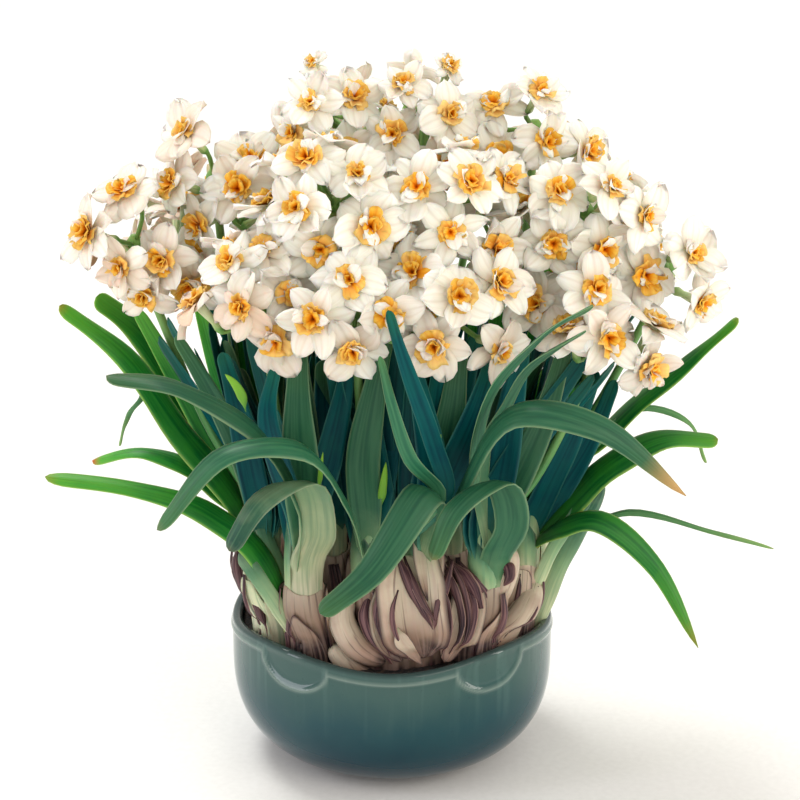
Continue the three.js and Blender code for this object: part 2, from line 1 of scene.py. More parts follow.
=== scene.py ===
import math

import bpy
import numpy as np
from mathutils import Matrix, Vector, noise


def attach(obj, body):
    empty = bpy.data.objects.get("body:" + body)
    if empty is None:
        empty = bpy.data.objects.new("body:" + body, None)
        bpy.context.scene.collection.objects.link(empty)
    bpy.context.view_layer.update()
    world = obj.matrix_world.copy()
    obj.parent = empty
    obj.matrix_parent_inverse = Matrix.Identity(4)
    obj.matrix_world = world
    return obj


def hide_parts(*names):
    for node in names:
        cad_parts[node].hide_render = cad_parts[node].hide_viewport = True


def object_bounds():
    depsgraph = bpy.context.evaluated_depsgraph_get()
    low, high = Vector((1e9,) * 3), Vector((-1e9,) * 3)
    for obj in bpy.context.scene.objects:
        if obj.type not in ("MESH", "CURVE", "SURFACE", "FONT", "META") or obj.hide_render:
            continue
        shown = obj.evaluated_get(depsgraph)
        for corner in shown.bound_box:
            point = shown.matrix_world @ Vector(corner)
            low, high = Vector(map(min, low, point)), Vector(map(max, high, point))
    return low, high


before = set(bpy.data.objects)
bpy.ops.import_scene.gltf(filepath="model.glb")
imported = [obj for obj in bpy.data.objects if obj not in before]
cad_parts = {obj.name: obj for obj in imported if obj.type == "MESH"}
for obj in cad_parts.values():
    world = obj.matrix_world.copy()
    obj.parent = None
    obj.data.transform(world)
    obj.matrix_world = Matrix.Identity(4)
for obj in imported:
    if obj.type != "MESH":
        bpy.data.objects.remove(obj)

# A potted double narcissus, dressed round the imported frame: a celadon bowl of dark soil, bulbs with torn
# tunics, fans of strap leaves, and umbels of double flowers. The tables and rules that place the pieces are
# those of the solids, in millimetres, with what only this scene has beside them. Every mesh is turned to
# metres when it is made.

cad_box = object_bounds()

MM = 0.001

# Bowl and soil
BOWL_RADIUS = 81
BOWL_HEIGHT = 75.5
BOWL_WALL = 5
BOWL_BASE = 7
BOWL_WIDEST = 56
FOOT_RADIUS = 30
RIM_LOBES = 4
RIM_RISE = 2.6
BOWL_SIDES = 400
SOIL_LEVEL = 65

# Heights where a ring of the bowl stands: on the outer wall, the first, last and step of its even rings,
# and on the inner wall.
OUTER_RINGS = (0, 0.5, 1.6, 3, 5, 8, 11, 15, 20, 26, 32, 37)
EVEN_RINGS = (40, 73.6, 0.95)
INNER_RINGS = (70, 66, 60, 52, 42, 32, 24, 16, 11, 8.4, 7.3)

# The collar below the rim: how low its edge lies, how far it dips below each lobe, the bearing of a dip's
# middle from the front or back, its half width, and how far the edge stands out.
COLLAR_EDGE = 70.6
COLLAR_DIP = 12.6
DIP_TURN = math.radians(36.5)
DIP_HALF = 20
COLLAR_RISE = 0.8

# Where the rim begins to rise into lobes and where its glaze is worn, and where the soil is banked up.
LOBES_FROM = 42
LIP_WORN = (73, 75.4)
SOIL_BANK = (52, 68)

# The soil's crumbs: a seed, how fine they are, and how high.
CRUMBS = ((3, 0.35, 1.1), (9, 0.9, 0.8))

# Bulbs, shoots and stems
NECK_TOP = 110
NECK_RADIUS = 10.4
NECK_LEAN = 1.14
SHEATH_RADIUS = 8.6
SHEATH_TOP = 132
SHEATH_SUNK = 8
SCAPE_RADIUS = 2.6
SCAPE_TOP = 2
LEAF_THICK = 1.4
LEAF_WIDTH = 18
LEAF_ROOT = 0.5
LEAF_TIP = 0.5
LEAF_CHANNEL = 0.09
LONG_ROLL = 0.6
FILLERS = 7

# The finishes of a shoot's leaves and stem, in their order on its mesh.
GREENS = ("leaf", "stem", "sunlit", "shaded", "young", "sheath")
LEAF, STEM, SUNLIT, SHADED, YOUNG, SHEATH = range(6)

# Flower heads
BLOOM_RADIUS = 17.8
BLOOM_TUBE = 13
BLOOM_SPACING = 24
PEDICEL_RADIUS = 1.3
UMBEL_REACH = 36
FAR_SPREAD = 0.8
KNOB_RADIUS = 5
CANOPY_MIDDLE = np.array((0, 20, 215))
CANOPY_REACH = np.array((110, 90, 160))
PETAL_THICK = 0.45
SETTLE_ROUNDS = 40
SETTLE_PUSH = 0.25

# Where a bloom counts as low, from the first height down and in full the second value below it, and over
# which spans it counts as in front, as left and as high. Low ones in front lie in shade, left ones are tinged
# with pink, and high ones are smaller.
LOW_BELOW = 300
LOW_REACH = 110
FRONT_SPAN = (-20, 80)
LEFT_SPAN = (25, 95)
HIGH_SPAN = (280, 345)

# Blooms that only this scene has: their distance from the heart as a share of the umbel's reach, how clear
# they stand of others, the least room to the solids' box, the most on one umbel, and the part of the
# photograph that they show in.
MORE_OUT = 0.9
MORE_CLEAR = 20
MORE_ROOM = 15.5
MORE_MOST = 4
MORE_MIDDLE = (395, 330)
MORE_HALF = (265, 228)
MORE_LOWEST = 345

# The photograph's view: its distance and height above the level, the point that it aims at, and where that
# point shows.
VIEW_DISTANCE = 1000
VIEW_DEGREES = 18
VIEW_AIM = 180
VIEW_FOCAL = 2030
VIEW_COLUMN = 392
VIEW_ROW = 407
PICTURE = 800
SENSOR = 36

# Each bulb: where it sits in the soil, its radius, the bearing that its fans of leaves open towards, and its
# shoots, each an offset from the bulb's own lean.
BULBS = [
    ((3, -44), 25, 270, [(-14, -3), (12, -2)]),
    ((-37, -51), 11.5, 240, [(0, 0)]),
    ((-55, -28), 13, 225, [(0, 0)]),
    ((-61, 4), 13, 215, [(0, 0)]),
    ((40, -49), 11.3, 300, [(0, 0)]),
    ((57, -24), 13, 315, [(0, 0)]),
    ((61, 8), 12, 325, [(0, 0)]),
    ((-27, -8), 16, 250, [(0, 0)]),
    ((27, -6), 16, 290, [(0, 0)]),
    ((-42, 38), 17, 125, [(7, 8), (-7, -8)]),
    ((42, 40), 16.5, 55, [(-7, 8), (7, -8)]),
    ((0, 22), 17, 275, [(-11, -1), (11, 1)]),
    ((0, 58), 15.5, 90, [(-11, 0), (11, 0)]),
]

# Each umbel's heart as (column, row) with its depth along +Y, and its blooms' faces; or, on the far side, its
# place and the bearing that its blooms face.
UMBELS = [
    ((355, 315), -70, [(350, 285), (348, 350), (388, 318), (318, 322)]),
    ((450, 318), -70, [(410, 275), (460, 298), (430, 350), (505, 360)]),
    ((262, 308), -60, [(238, 310), (275, 350), (300, 290), (229, 261)]),
    ((135, 245), -20, [(130, 188), (85, 232), (143, 300), (187, 290)]),
    ((215, 178), 0, [(182, 132), (265, 148), (240, 185), (195, 225), (165, 185)]),
    ((603, 335), -55, [(610, 338), (655, 380), (535, 308), (600, 290)]),
    ((585, 212), -30, [(570, 195), (607, 195), (635, 210), (560, 240), (600, 255)]),
    ((668, 268), -15, [(685, 258), (655, 270), (633, 235), (705, 308)]),
    ((335, 208), -50, [(305, 215), (310, 245), (375, 222), (355, 180), (310, 170)]),
    ((445, 205), -45, [(425, 190), (450, 225), (470, 185), (395, 235), (507, 180), (497, 252)]),
    ((-42, 72, 268), 110, None),
    ((-94, 42, 256), 150, None),
    ((94, 42, 256), 30, None),
    ((535, 130), 5, [(497, 105), (536, 103), (540, 135), (510, 150), (585, 150)]),
    ((325, 112), 10, [(313, 82), (305, 104), (347, 97), (352, 150), (290, 125)]),
    ((425, 112), 5, [(388, 122), (400, 95), (450, 68), (455, 118), (447, 155)]),
    ((0, 42, 308), 90, None),
    ((42, 72, 268), 70, None),
]

# Long leaves: the shoot, the width, the course as (column, row, depth), how brown the tip is, and the finish.
LONG_LEAVES = [
    (3, 15, [(222, 522, -46), (188, 503, -48), (130, 488, -46), (45, 477, -40)], 0.3, SUNLIT),
    (4, 12, [(225, 497, -6), (190, 468, -8), (145, 452, -6), (92, 461, 0)], 1.0, SUNLIT),
    (2, 17, [(300, 500, -88), (255, 430, -104), (180, 388, -108), (106, 376, -104)], 0.2, LEAF),
    (0, 15, [(345, 500, -92), (300, 448, -112), (225, 455, -122), (157, 530, -120)], 0.2, LEAF),
    (2, 17, [(318, 530, -84), (305, 482, -104), (262, 500, -118), (229, 551, -122)], 0.2, SHEATH),
    (3, 17, [(236, 500, -30), (180, 430, -30), (125, 355, -34), (59, 306, -38)], 0.4, SUNLIT),
    (11, 22, [(240, 480, 24), (190, 400, 16), (140, 330, 14), (96, 297, 10)], 0.2, SUNLIT),
    (1, 18, [(438, 510, -82), (425, 492, -106), (370, 572, -124), (320, 614, -126)], 0.1, LEAF),
    (5, 16, [(512, 520, -78), (496, 481, -98), (455, 510, -114), (432, 560, -116)], 0.3, LEAF),
    (1, 15, [(455, 500, -84), (515, 414, -110), (600, 428, -118), (686, 496, -116)], 0.9, LEAF),
    (6, 18, [(566, 506, -36), (612, 462, -42), (664, 438, -42), (718, 440, -38)], 0.3, SUNLIT),
    (6, 12, [(560, 528, -46), (598, 520, -54), (655, 566, -60), (698, 648, -60)], 0.3, SUNLIT),
    (7, 3.6, [(588, 522, -4), (630, 512, -4), (710, 531, -2), (774, 549, 0)], 0.4, STEM),
    (0, 8.4, [(444, 500, -84), (432, 440, -100), (404, 362, -116), (388, 310, -121)], 0.1, SHADED),
    (5, 8, [(474, 462, -80), (494, 388, -106), (542, 336, -117), (593, 305, -121)], 0.2, LEAF),
    (13, 13, [(585, 450, 30), (640, 400, 26), (690, 360, 22), (738, 318, 16)], 0.3, SUNLIT),
    (7, 4, [(590, 450, 24), (640, 408, 30), (690, 424, 34), (706, 463, 34)], 0.3, STEM),
    (5, 9, [(484, 452, -74), (504, 406, -90), (535, 362, -106), (586, 331, -114)], 0.1, LEAF),
    (4, 3.4, [(150, 388, -12), (138, 402, -14), (126, 420, -14), (120, 446, -14)], 0.0, STEM),
    (0, 6.6, [(440, 496, -88), (410, 458, -101), (392, 405, -109), (380, 356, -113)], 0.0, LEAF),
]

# Where the first of them stands, from beside its bulb up to its course: it starts outside its sheath.
LOW_FEET = {0: [(294, 645, -48), (286, 610, -54), (272, 574, -55), (252, 544, -51)]}

# Those that wrap the front of their sheath at its foot, and those with a pointed tip.
WRAPPED = (4, 8)
POINTED = (9, 11)

# Those whose tone isn't drawn: deep ones, and one that is pale with wax.
LONG_TONES = {2: 0.0, 4: 0.0, 10: 0.0, 11: 0.0, 15: 0.0, 19: 1.0}

# How many patches of old tunic each bulb still wears.
TUNIC_PATCHES = (2, 0, 0, 2, 0, 1, 1, 1, 1, 2, 2, 1, 2)

# Broad upright leaves that stand between the bulbs and the lowest blooms: the shoot, the width, and the
# course as (column, row, depth) from the foot up.
UPRIGHT_LEAVES = [
    (3, 11, [(257, 512, -40), (240, 452, -48), (208, 388, -54), (176, 336, -56)]),
    (3, 13, [(260, 515, -44), (249, 460, -58), (236, 400, -68), (222, 352, -72)]),
    (2, 12, [(296, 512, -68), (278, 458, -80), (268, 410, -86), (276, 368, -88)]),
    (2, 17, [(304, 515, -68), (301, 465, -74), (298, 410, -78), (299, 340, -78)]),
    (8, 18, [(332, 515, -18), (332, 465, -24), (328, 410, -30), (324, 335, -34)]),
    (2, 14, [(312, 512, -64), (326, 465, -66), (340, 405, -68), (350, 340, -68)]),
    (0, 16, [(366, 515, -62), (363, 460, -66), (372, 400, -70), (386, 335, -72)]),
    (0, 15, [(374, 515, -58), (384, 460, -58), (393, 400, -58), (400, 330, -58)]),
    (1, 14, [(428, 515, -64), (432, 465, -74), (423, 410, -82), (408, 345, -84)]),
    (1, 17, [(430, 515, -60), (441, 465, -66), (452, 410, -72), (460, 340, -74)]),
    (1, 17, [(434, 512, -62), (454, 465, -72), (475, 415, -80), (494, 355, -82)]),
    (5, 16, [(492, 518, -64), (502, 460, -67), (512, 400, -69), (524, 335, -70)]),
    (5, 15, [(497, 520, -62), (520, 470, -66), (545, 415, -68), (566, 345, -68)]),
    (6, 14, [(530, 524, -32), (550, 480, -40), (574, 430, -46), (596, 370, -48)]),
    (6, 13, [(534, 526, -28), (560, 488, -34), (590, 440, -40), (616, 380, -42)]),
    (9, 16, [(456, 512, -14), (474, 460, -20), (490, 400, -26), (512, 340, -28)]),
]

# Leaves that the sun falls through, behind the lower blooms, in the same terms.
BACK_LEAVES = [
    (9, 14, [(496, 500, -6), (516, 430, -2), (534, 350, 2), (552, 258, 6)]),
    (6, 12, [(556, 500, -24), (572, 430, -18), (588, 350, -10), (604, 268, -4)]),
    (9, 12, [(482, 480, 4), (490, 410, 8), (494, 340, 12), (504, 262, 14)]),
    (9, 12, [(462, 480, 4), (470, 410, 8), (474, 340, 12), (470, 262, 14)]),
    (1, 12, [(428, 500, -44), (424, 430, -36), (418, 350, -26), (408, 256, -16)]),
    (8, 12, [(336, 500, -10), (346, 430, -4), (352, 350, 2), (358, 262, 8)]),
    (4, 12, [(258, 490, -2), (252, 430, 0), (244, 350, 4), (238, 276, 8)]),
    (4, 11, [(254, 490, -2), (238, 430, 0), (214, 360, 4), (196, 292, 8)]),
    (8, 12, [(322, 490, 4), (306, 400, 6), (288, 320, 8), (272, 244, 10)]),
    (4, 14, [(244, 492, 8), (210, 432, 6), (176, 375, 4), (136, 308, 0)]),
]

# Small young leaves between them, in the same terms.
YOUNG_LEAVES = [
    (0, 4.0, [(381, 508, -60), (382, 494, -66), (384, 478, -68), (386, 462, -68)]),
    (1, 2.6, [(435, 466, -78), (437, 454, -80), (439, 444, -80), (441, 434, -80)]),
    (2, 2.4, [(318, 492, -74), (320, 478, -76), (321, 466, -77), (323, 452, -77)]),
    (3, 4.6, [(246, 412, -72), (242, 396, -74), (235, 384, -76), (225, 374, -76)]),
]

# Blooms in gaps of the canopy: the umbel, the column and the row.
GAP_BLOOMS = [(3, 118, 270), (3, 160, 262), (2, 262, 250), (1, 502, 284)]

# Blanched leaves that leave their bulb low and stand away from it: the shoot, the width and the course.
OUTER_LEAVES = [
    (6, 10, [(529, 650, -14), (543, 610, -18), (557, 574, -22), (574, 541, -26), (604, 486, -30)]),
    (6, 7, [(524, 622, -32), (536, 588, -35), (551, 554, -38), (572, 520, -40), (590, 496, -40)]),
    (3, 8, [(304, 652, -50), (288, 624, -57), (270, 596, -60), (254, 572, -59), (240, 552, -54)]),
    (3, 8, [(304, 644, -48), (294, 610, -48), (282, 576, -46), (268, 540, -42), (254, 500, -38)]),
]

# Loose lengths of purple-brown tunic on the front bulb: the width, the course as (column, row, depth), and
# how far each twists, in radians.
FRONT_TUNIC = [
    (7.0, [(370, 590, -60), (364, 616, -68), (372, 640, -72), (392, 664, -71)], 0.3),
    (4.0, [(392, 566, -60), (380, 592, -69), (376, 622, -73), (390, 656, -73)], 0.5),
    (2.6, [(398, 590, -70), (392, 612, -75), (396, 636, -77), (410, 662, -75)], -0.3),
    (6.0, [(396, 552, -60), (408, 582, -70), (419, 606, -75), (433, 630, -77)], 0.5),
    (3.6, [(404, 556, -60), (414, 584, -71), (424, 604, -76), (436, 622, -77)], -0.5),
    (5.0, [(452, 560, -62), (445, 586, -71), (439, 606, -76), (434, 630, -77)], -0.5),
    (4.4, [(442, 560, -60), (453, 588, -71), (461, 620, -75), (453, 658, -74)], 0.6),
    (3.0, [(448, 556, -60), (463, 588, -70), (469, 620, -74), (461, 656, -73)], -0.4),
    (2.4, [(438, 580, -70), (447, 602, -75), (450, 630, -77), (444, 660, -75)], 0.4),
    (9.0, [(448, 560, -58), (462, 578, -66), (474, 598, -69), (482, 622, -67)], 0.9),
    (8.0, [(458, 562, -58), (472, 580, -65), (486, 596, -66), (492, 614, -63)], -0.7),
    (5.0, [(466, 584, -66), (472, 604, -71), (470, 630, -73), (462, 650, -73)], 0.5),
    (7.0, [(500, 560, -58), (506, 566, -62), (508, 576, -64), (504, 586, -65)], 0.5),
    (5.4, [(364, 528, -52), (368, 516, -54), (375, 508, -54), (383, 502, -53)], 1.4),
    (4.0, [(372, 532, -54), (374, 520, -56), (370, 508, -56), (364, 500, -55)], -1.2),
    (2.6, [(538, 586, -38), (534, 612, -46), (514, 636, -53), (480, 652, -57)], 0.3),
    (7.0, [(238, 548, -18), (236, 564, -24), (240, 584, -30), (250, 604, -34)], 0.5),
    (5.0, [(250, 580, -34), (256, 600, -40), (262, 620, -44), (262, 640, -46)], -0.5),
    (3.4, [(296, 590, -60), (290, 612, -62), (288, 632, -62), (292, 650, -60)], 0.4),
]

# The bulbs whose outer leaves never browned, so that they stand pale and green-striped in the soil.
BLANCHED = (2, 6)

# Curved daughter bulbs that hug the front bulb: the radius, and the course as (column, row, depth).
DAUGHTERS = [
    (7.0, [(352, 592, -54), (342, 616, -61), (354, 642, -65), (386, 662, -66)]),
    (5.6, [(334, 644, -58), (339, 655, -61), (352, 665, -63), (372, 676, -63)]),
    (7.6, [(509, 546, -50), (506, 566, -54), (497, 588, -56), (482, 610, -56)]),
    (7.4, [(536, 580, -32), (527, 606, -40), (508, 630, -46), (474, 646, -50)]),
    (4.4, [(500, 650, -52), (492, 656, -54), (480, 661, -56), (462, 663, -58)]),
]

# Broad folded scales over the front bulb: the width, the course as (column, row, depth), the share of the
# width at the upper end, and where the lower end begins to narrow.
FRONT_SCALES = [
    (33, [(410, 556, -58), (411, 590, -68), (416, 626, -72), (424, 658, -70)], 0.8, 0.7),
    (13, [(386, 584, -60), (382, 612, -68), (386, 638, -71), (402, 662, -70)], 0.6, 0.5),
    (18, [(468, 580, -60), (468, 608, -67), (460, 636, -70), (444, 662, -69)], 0.7, 0.6),
    (15, [(428, 538, -54), (429, 560, -61), (431, 582, -68), (432, 606, -73)], 1.0, 0.25),
    (8, [(397, 628, -74), (402, 640, -76), (412, 652, -76), (422, 664, -73)], 0.2, 0.4),
]


def draw(index, salt):
    """The same number from 0 to 1 for the same index and salt, as the solids draw it."""
    wave = math.sin(index * 12.9898 + salt * 78.233) * 43758.5453
    return wave - math.floor(wave)


def spread(index, salt, reach):
    return (draw(index, salt) * 2 - 1) * reach


def mix(low, high, share):
    return low + (high - low) * share


def smooth(value, low, high):
    share = np.clip((value - low) / (high - low), 0, 1)
    return share * share * (3 - 2 * share)


def unit(vectors):
    vectors = np.asarray(vectors, float)
    return vectors / np.linalg.norm(vectors, axis=-1, keepdims=True)


# Where things are

TILT = math.radians(VIEW_DEGREES)
EYE = np.array((0, -VIEW_DISTANCE * math.cos(TILT), VIEW_AIM + VIEW_DISTANCE * math.sin(TILT)))


def gaze(column, row):
    """The way from the eye to what shows at (column, row), one unit deep."""
    across = (column - VIEW_COLUMN) / VIEW_FOCAL
    rise = (VIEW_ROW - row) / VIEW_FOCAL
    return np.array((
        across,
        math.cos(TILT) + rise * math.sin(TILT),
        -math.sin(TILT) + rise * math.cos(TILT),
    ))


def sight(column, row, depth):
    """The point that shows at (column, row) and lies at y = depth."""
    ray = gaze(column, row)
    return EYE + ray * (depth - EYE[1]) / ray[1]


def shows_at(point):
    """The column and row that a point shows at."""
    ahead = point - EYE
    depth = ahead[1] * math.cos(TILT) - ahead[2] * math.sin(TILT)
    rise = ahead[1] * math.sin(TILT) + ahead[2] * math.cos(TILT)
    return VIEW_COLUMN + VIEW_FOCAL * ahead[0] / depth, VIEW_ROW - VIEW_FOCAL * rise / depth


def on_umbel(heart, column, row):
    """The near point of a ball round the heart at (column, row)."""
    ray = unit(gaze(column, row))
    closest = EYE + ray * np.dot(heart - EYE, ray)
    miss = min(UMBEL_REACH, np.linalg.norm(closest - heart))
    return closest - ray * math.sqrt(UMBEL_REACH ** 2 - miss ** 2)


def level(turn):
    """The level direction at a bearing."""
    return np.array((math.cos(turn), math.sin(turn), 0))


def beside(way):
    """The level direction a quarter turn on from another."""
    return np.array((-way[1], way[0], 0))


def far_faces(heart, bearing):
    """Four faces in a square round a far umbel's bearing."""
    across = beside(level(bearing))
    out = unit(level(bearing) + (0, 0, 0.35))
    up = np.cross(out, across)
    faces = []
    for degrees in (30, 120, 210, 300):
        angle = math.radians(degrees)
        way = out + across * FAR_SPREAD * math.cos(angle) + up * FAR_SPREAD * math.sin(angle)
        faces.append(heart + unit(way) * UMBEL_REACH)
    return faces


def settle(faces):
    """Pushes faces apart, a pair at a time, towards the spacing that blooms keep."""
    places = [Vector(face) for face in faces]
    for _ in range(SETTLE_ROUNDS):
        for i, one in enumerate(places):
            for other in places[i + 1:]:
                apart = other - one
                short = BLOOM_SPACING - apart.length
                if short > 0:
                    push = apart.normalized() * short * SETTLE_PUSH
                    one -= push
                    other += push
    return [np.array(place) for place in places]


def turned(vector, axis, angle):
    """A vector turned about a unit axis."""
    vector, axis = np.asarray(vector, float), np.asarray(axis, float)
    cos, sin = np.cos(angle), np.sin(angle)
    along = np.sum(vector * axis, axis=-1, keepdims=True)
    return vector * cos + np.cross(axis, vector) * sin + axis * along * (1 - cos)


class Course:
    """A smooth line through points, which keeps close to them where they lie unevenly."""

    def __init__(self, points):
        self.points = np.array(points, float)

    def at(self, share):
        points = self.points
        last = len(points) - 1
        place = np.clip(np.atleast_1d(np.asarray(share, float)), 0, 1) * last
        start = np.minimum(place.astype(int), last - 1)
        part = (place - start)[:, None]
        padded = np.vstack([2 * points[0] - points[1], points, 2 * points[-1] - points[-2]])
        a, b, c, d = (padded[start + k] for k in range(4))
        ab, bc, cd = (
            np.maximum(np.sum((p - q) ** 2, axis=1), 1e-8)[:, None] ** 0.25
            for p, q in ((a, b), (b, c), (c, d)))
        leave = ((b - a) / ab - (c - a) / (ab + bc) + (c - b) / bc) * bc
        arrive = ((c - b) / bc - (d - b) / (bc + cd) + (d - c) / cd) * bc
        return b + leave * part + (3 * (c - b) - 2 * leave - arrive) * part ** 2 + (
            2 * (b - c) + leave + arrive) * part ** 3

    def heading(self, share):
        share = np.atleast_1d(np.asarray(share, float))
        return unit(self.at(np.minimum(1, share + 1e-4)) - self.at(np.maximum(0, share - 1e-4)))


def sighted(stops, *feet):
    """A course from its feet on through the places that show at (column, row) and lie at a depth."""
    return Course([*feet, *(sight(*stop) for stop in stops)])


hearts = [np.array(first, float) if seen is None else sight(*first, second)
          for first, second, seen in UMBELS]
face_groups = [
    far_faces(heart, math.radians(second)) if seen is None else [on_umbel(heart, *face) for face in seen]
    for heart, (first, second, seen) in zip(hearts, UMBELS)]
settled = iter(settle([face for group in face_groups for face in group]))
face_groups = [[next(settled) for _ in group] for group in face_groups]


def neck_at(place, offset):
    """Where a bulb's neck ends, out from the bowl's middle and aside by its offset."""
    return np.array((place[0] * NECK_LEAN + offset[0], place[1] * NECK_LEAN + offset[1], NECK_TOP))


class Shoot:
    """One shoot: its bulb's neck, the heart of its umbel, and the axis between them."""

    def __init__(self, bulb, neck, bearing, heart):
        self.bulb = bulb
        self.neck = neck
        self.heart = heart
        self.out = level(bearing)
        self.across = beside(self.out)
        rise = neck.copy()
        rise[2] = SHEATH_TOP
        top = heart.copy()
        top[2] -= KNOB_RADIUS
        self.axis = Course([neck, rise, mix(neck, heart, 0.45), top])

    def at_height(self, heights):
        """Where the axis passes each height."""
        points = self.axis.at((np.atleast_1d(heights) - NECK_TOP) / (self.heart[2] - NECK_TOP))
        points[:, 2] = heights
        return points


shoots = []
for number, (place, radius, bearing, offsets) in enumerate(BULBS):
    for offset in offsets:
        shoots.append(Shoot(number, neck_at(place, offset), math.radians(bearing), hearts[len(shoots)]))


# Making meshes

def placed(name, data):
    """A new object that stands in the scene."""
    obj = bpy.data.objects.new(name, data)
    bpy.context.collection.objects.link(obj)
    return obj


def start_clean():
    """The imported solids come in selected, so nothing is left selected before a new piece is begun."""
    if bpy.context.object and bpy.context.object.mode != "OBJECT":
        bpy.ops.object.mode_set(mode="OBJECT")
    bpy.ops.object.select_all(action="DESELECT")


def points_of(obj):
    """The points of an object's mesh, one in a row."""
    flat = np.empty(len(obj.data.vertices) * 3)
    obj.data.vertices.foreach_get("co", flat)
    return flat.reshape(-1, 3)


def end_edit(merge=0.0):
    """Closes seams and poles, turns every face outwards and leaves edit mode."""
    bpy.ops.mesh.select_all(action="SELECT")
    if merge:
        bpy.ops.mesh.remove_doubles(threshold=merge)
    bpy.ops.mesh.normals_make_consistent(inside=False)
    bpy.ops.object.mode_set(mode="OBJECT")


class Stamp:
    """A plain master that is modelled once. Every leaf, petal and stem is a shaped copy of one."""

    def __init__(self, obj):
        self.points = points_of(obj)
        self.faces = [list(face.vertices) for face in obj.data.polygons]
        bpy.data.objects.remove(obj)


def sheet_stamp(across, along, walled=True):
    """A sheet one unit long, x from -0.5 to 0.5. A walled one is one unit thick, for the shape to thin."""
    start_clean()
    bpy.ops.mesh.primitive_grid_add(
        x_subdivisions=across, y_subdivisions=along, size=1, location=(0, 0.5, 0))
    sheet = bpy.context.object
    bpy.ops.object.transform_apply(location=True)
    if walled:
        wall = sheet.modifiers.new("wall", "SOLIDIFY")
        wall.thickness = 1
        wall.offset = 0
        bpy.ops.object.modifier_apply(modifier=wall.name)
    return Stamp(sheet)


def tube_stamp(sides, steps):
    """A closed tube of radius one round the z axis, one unit long."""
    start_clean()
    bpy.ops.mesh.primitive_circle_add(vertices=sides, radius=1, fill_type="NGON")
    tube = bpy.context.object
    bpy.ops.object.mode_set(mode="EDIT")
    bpy.ops.mesh.select_all(action="SELECT")
    for _ in range(steps):
        bpy.ops.mesh.extrude_region_move(TRANSFORM_OT_translate={"value": (0, 0, 1 / steps)})
    end_edit()
    return Stamp(tube)


class Heap:
    """Gathers shaped copies of the stamps that make one piece, with the marks that its finish reads.

    grain is the place on the copy in millimetres, across and along. marks holds the share along the copy,
    the share out to its edge, its own tone, and a blush or dryness.
    """

    def __init__(self):
        self.points, self.faces, self.grain, self.marks, self.finish = [], [], [], [], []
        self.count = 0

    def add(self, stamp, points, grain, along, edge, tone, blush=0.0, finish=0):
        size = len(points)
        self.points.append(points)
        self.faces.extend([corner + self.count for corner in face] for face in stamp.faces)
        self.finish.extend([finish] * len(stamp.faces))
        self.grain.append(np.stack(np.broadcast_arrays(*grain), axis=1))
        self.marks.append(np.stack([np.broadcast_to(m, size) for m in (along, edge, tone, blush)], axis=1))
        self.count += size


def add_marks(mesh, marks):
    """Gives each point of a mesh its four marks."""
    mesh.attributes.new("marks", "FLOAT_COLOR", "POINT").data.foreach_set("color", marks.ravel())


def piece_from(heap, name, finishes, nodes, merge=0.0):
    """Makes a heap one object that stands for the named nodes."""
    mesh = bpy.data.meshes.new(name)
    mesh.from_pydata((np.vstack(heap.points) * MM).tolist(), [], heap.faces)
    corners = np.empty(len(mesh.loops), int)
    mesh.loops.foreach_get("vertex_index", corners)
    mesh.uv_layers.new(name="grain").data.foreach_set(
        "uv", (np.vstack(heap.grain) * MM)[corners].ravel())
    add_marks(mesh, np.vstack(heap.marks))
    mesh.polygons.foreach_set("material_index", heap.finish)
    for finish in finishes:
        mesh.materials.append(FINISHES[finish])
    obj = placed(name, mesh)
    start_clean()
    obj.select_set(True)
    bpy.context.view_layer.objects.active = obj
    bpy.ops.object.mode_set(mode="EDIT")
    end_edit(merge)
    bpy.ops.object.shade_smooth()
    return belongs(obj, nodes)


def belongs(obj, nodes):
    """Puts an object on the root body and hides the solids that it stands for."""
    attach(obj, "root")
    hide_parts(*nodes)
    return obj


# Finishes

def srgb(code):
    """A colour from its hex code, as the linear values that shaders take."""
    parts = [int(code[i:i + 2], 16) / 255 for i in (1, 3, 5)]
    return (*(p / 12.92 if p <= 0.04045 else ((p + 0.055) / 1.055) ** 2.4 for p in parts), 1)


def finish(name, colour, roughness, **values):
    """A new material whose shader starts from constants."""
    material = bpy.data.materials.new(name)
    material.use_nodes = True
    shader = material.node_tree.nodes["Principled BSDF"]
    shader.inputs["Base Color"].default_value = srgb(colour)
    shader.inputs["Roughness"].default_value = roughness
    for socket, value in values.items():
        shader.inputs[socket.replace("_", " ")].default_value = value
    return material, material.node_tree, shader


# Where a node that mixes has its colours: two of its inputs and one of its outputs.
MIX_A, MIX_B, MIX_OUT = 6, 7, 2


def wire(tree, node, inputs):
    """Sets or links a node's inputs. A hex code stands for its colour, and a node for its first output, or
    for its colour where it mixes two."""
    for socket, value in inputs.items():
        if isinstance(value, str):
            value = srgb(value)
        if isinstance(value, bpy.types.Node):
            value = value.outputs[MIX_OUT if value.bl_idname == "ShaderNodeMix" else 0]
        if isinstance(value, bpy.types.NodeSocket):
            tree.links.new(value, node.inputs[socket])
        else:
            node.inputs[socket].default_value = value


def add(tree, kind, inputs=(), stops=(), **settings):
    """Adds a node with its settings and inputs, and gives a ramp its colours."""
    made = tree.nodes.new(kind)
    for name, value in settings.items():
        setattr(made, name, value)
    wire(tree, made, dict(inputs))
    if stops:
        ramp = made.color_ramp.elements
        while len(ramp) < len(stops):
            ramp.new(0.5)
        for element, (place, colour) in zip(ramp, stops):
            element.position = place
            element.color = srgb(colour)
    return made


def overlaid(tree, body, value, low, high, share, colour):
    """Lays a colour over a body, from none where the value is low to its full share where it is high."""
    cover = add(tree, "ShaderNodeMapRange", {
        "Value": value, "From Min": low, "From Max": high, "To Max": share})
    return add(tree, "ShaderNodeMix", {0: cover, MIX_A: body, MIX_B: colour}, data_type="RGBA")


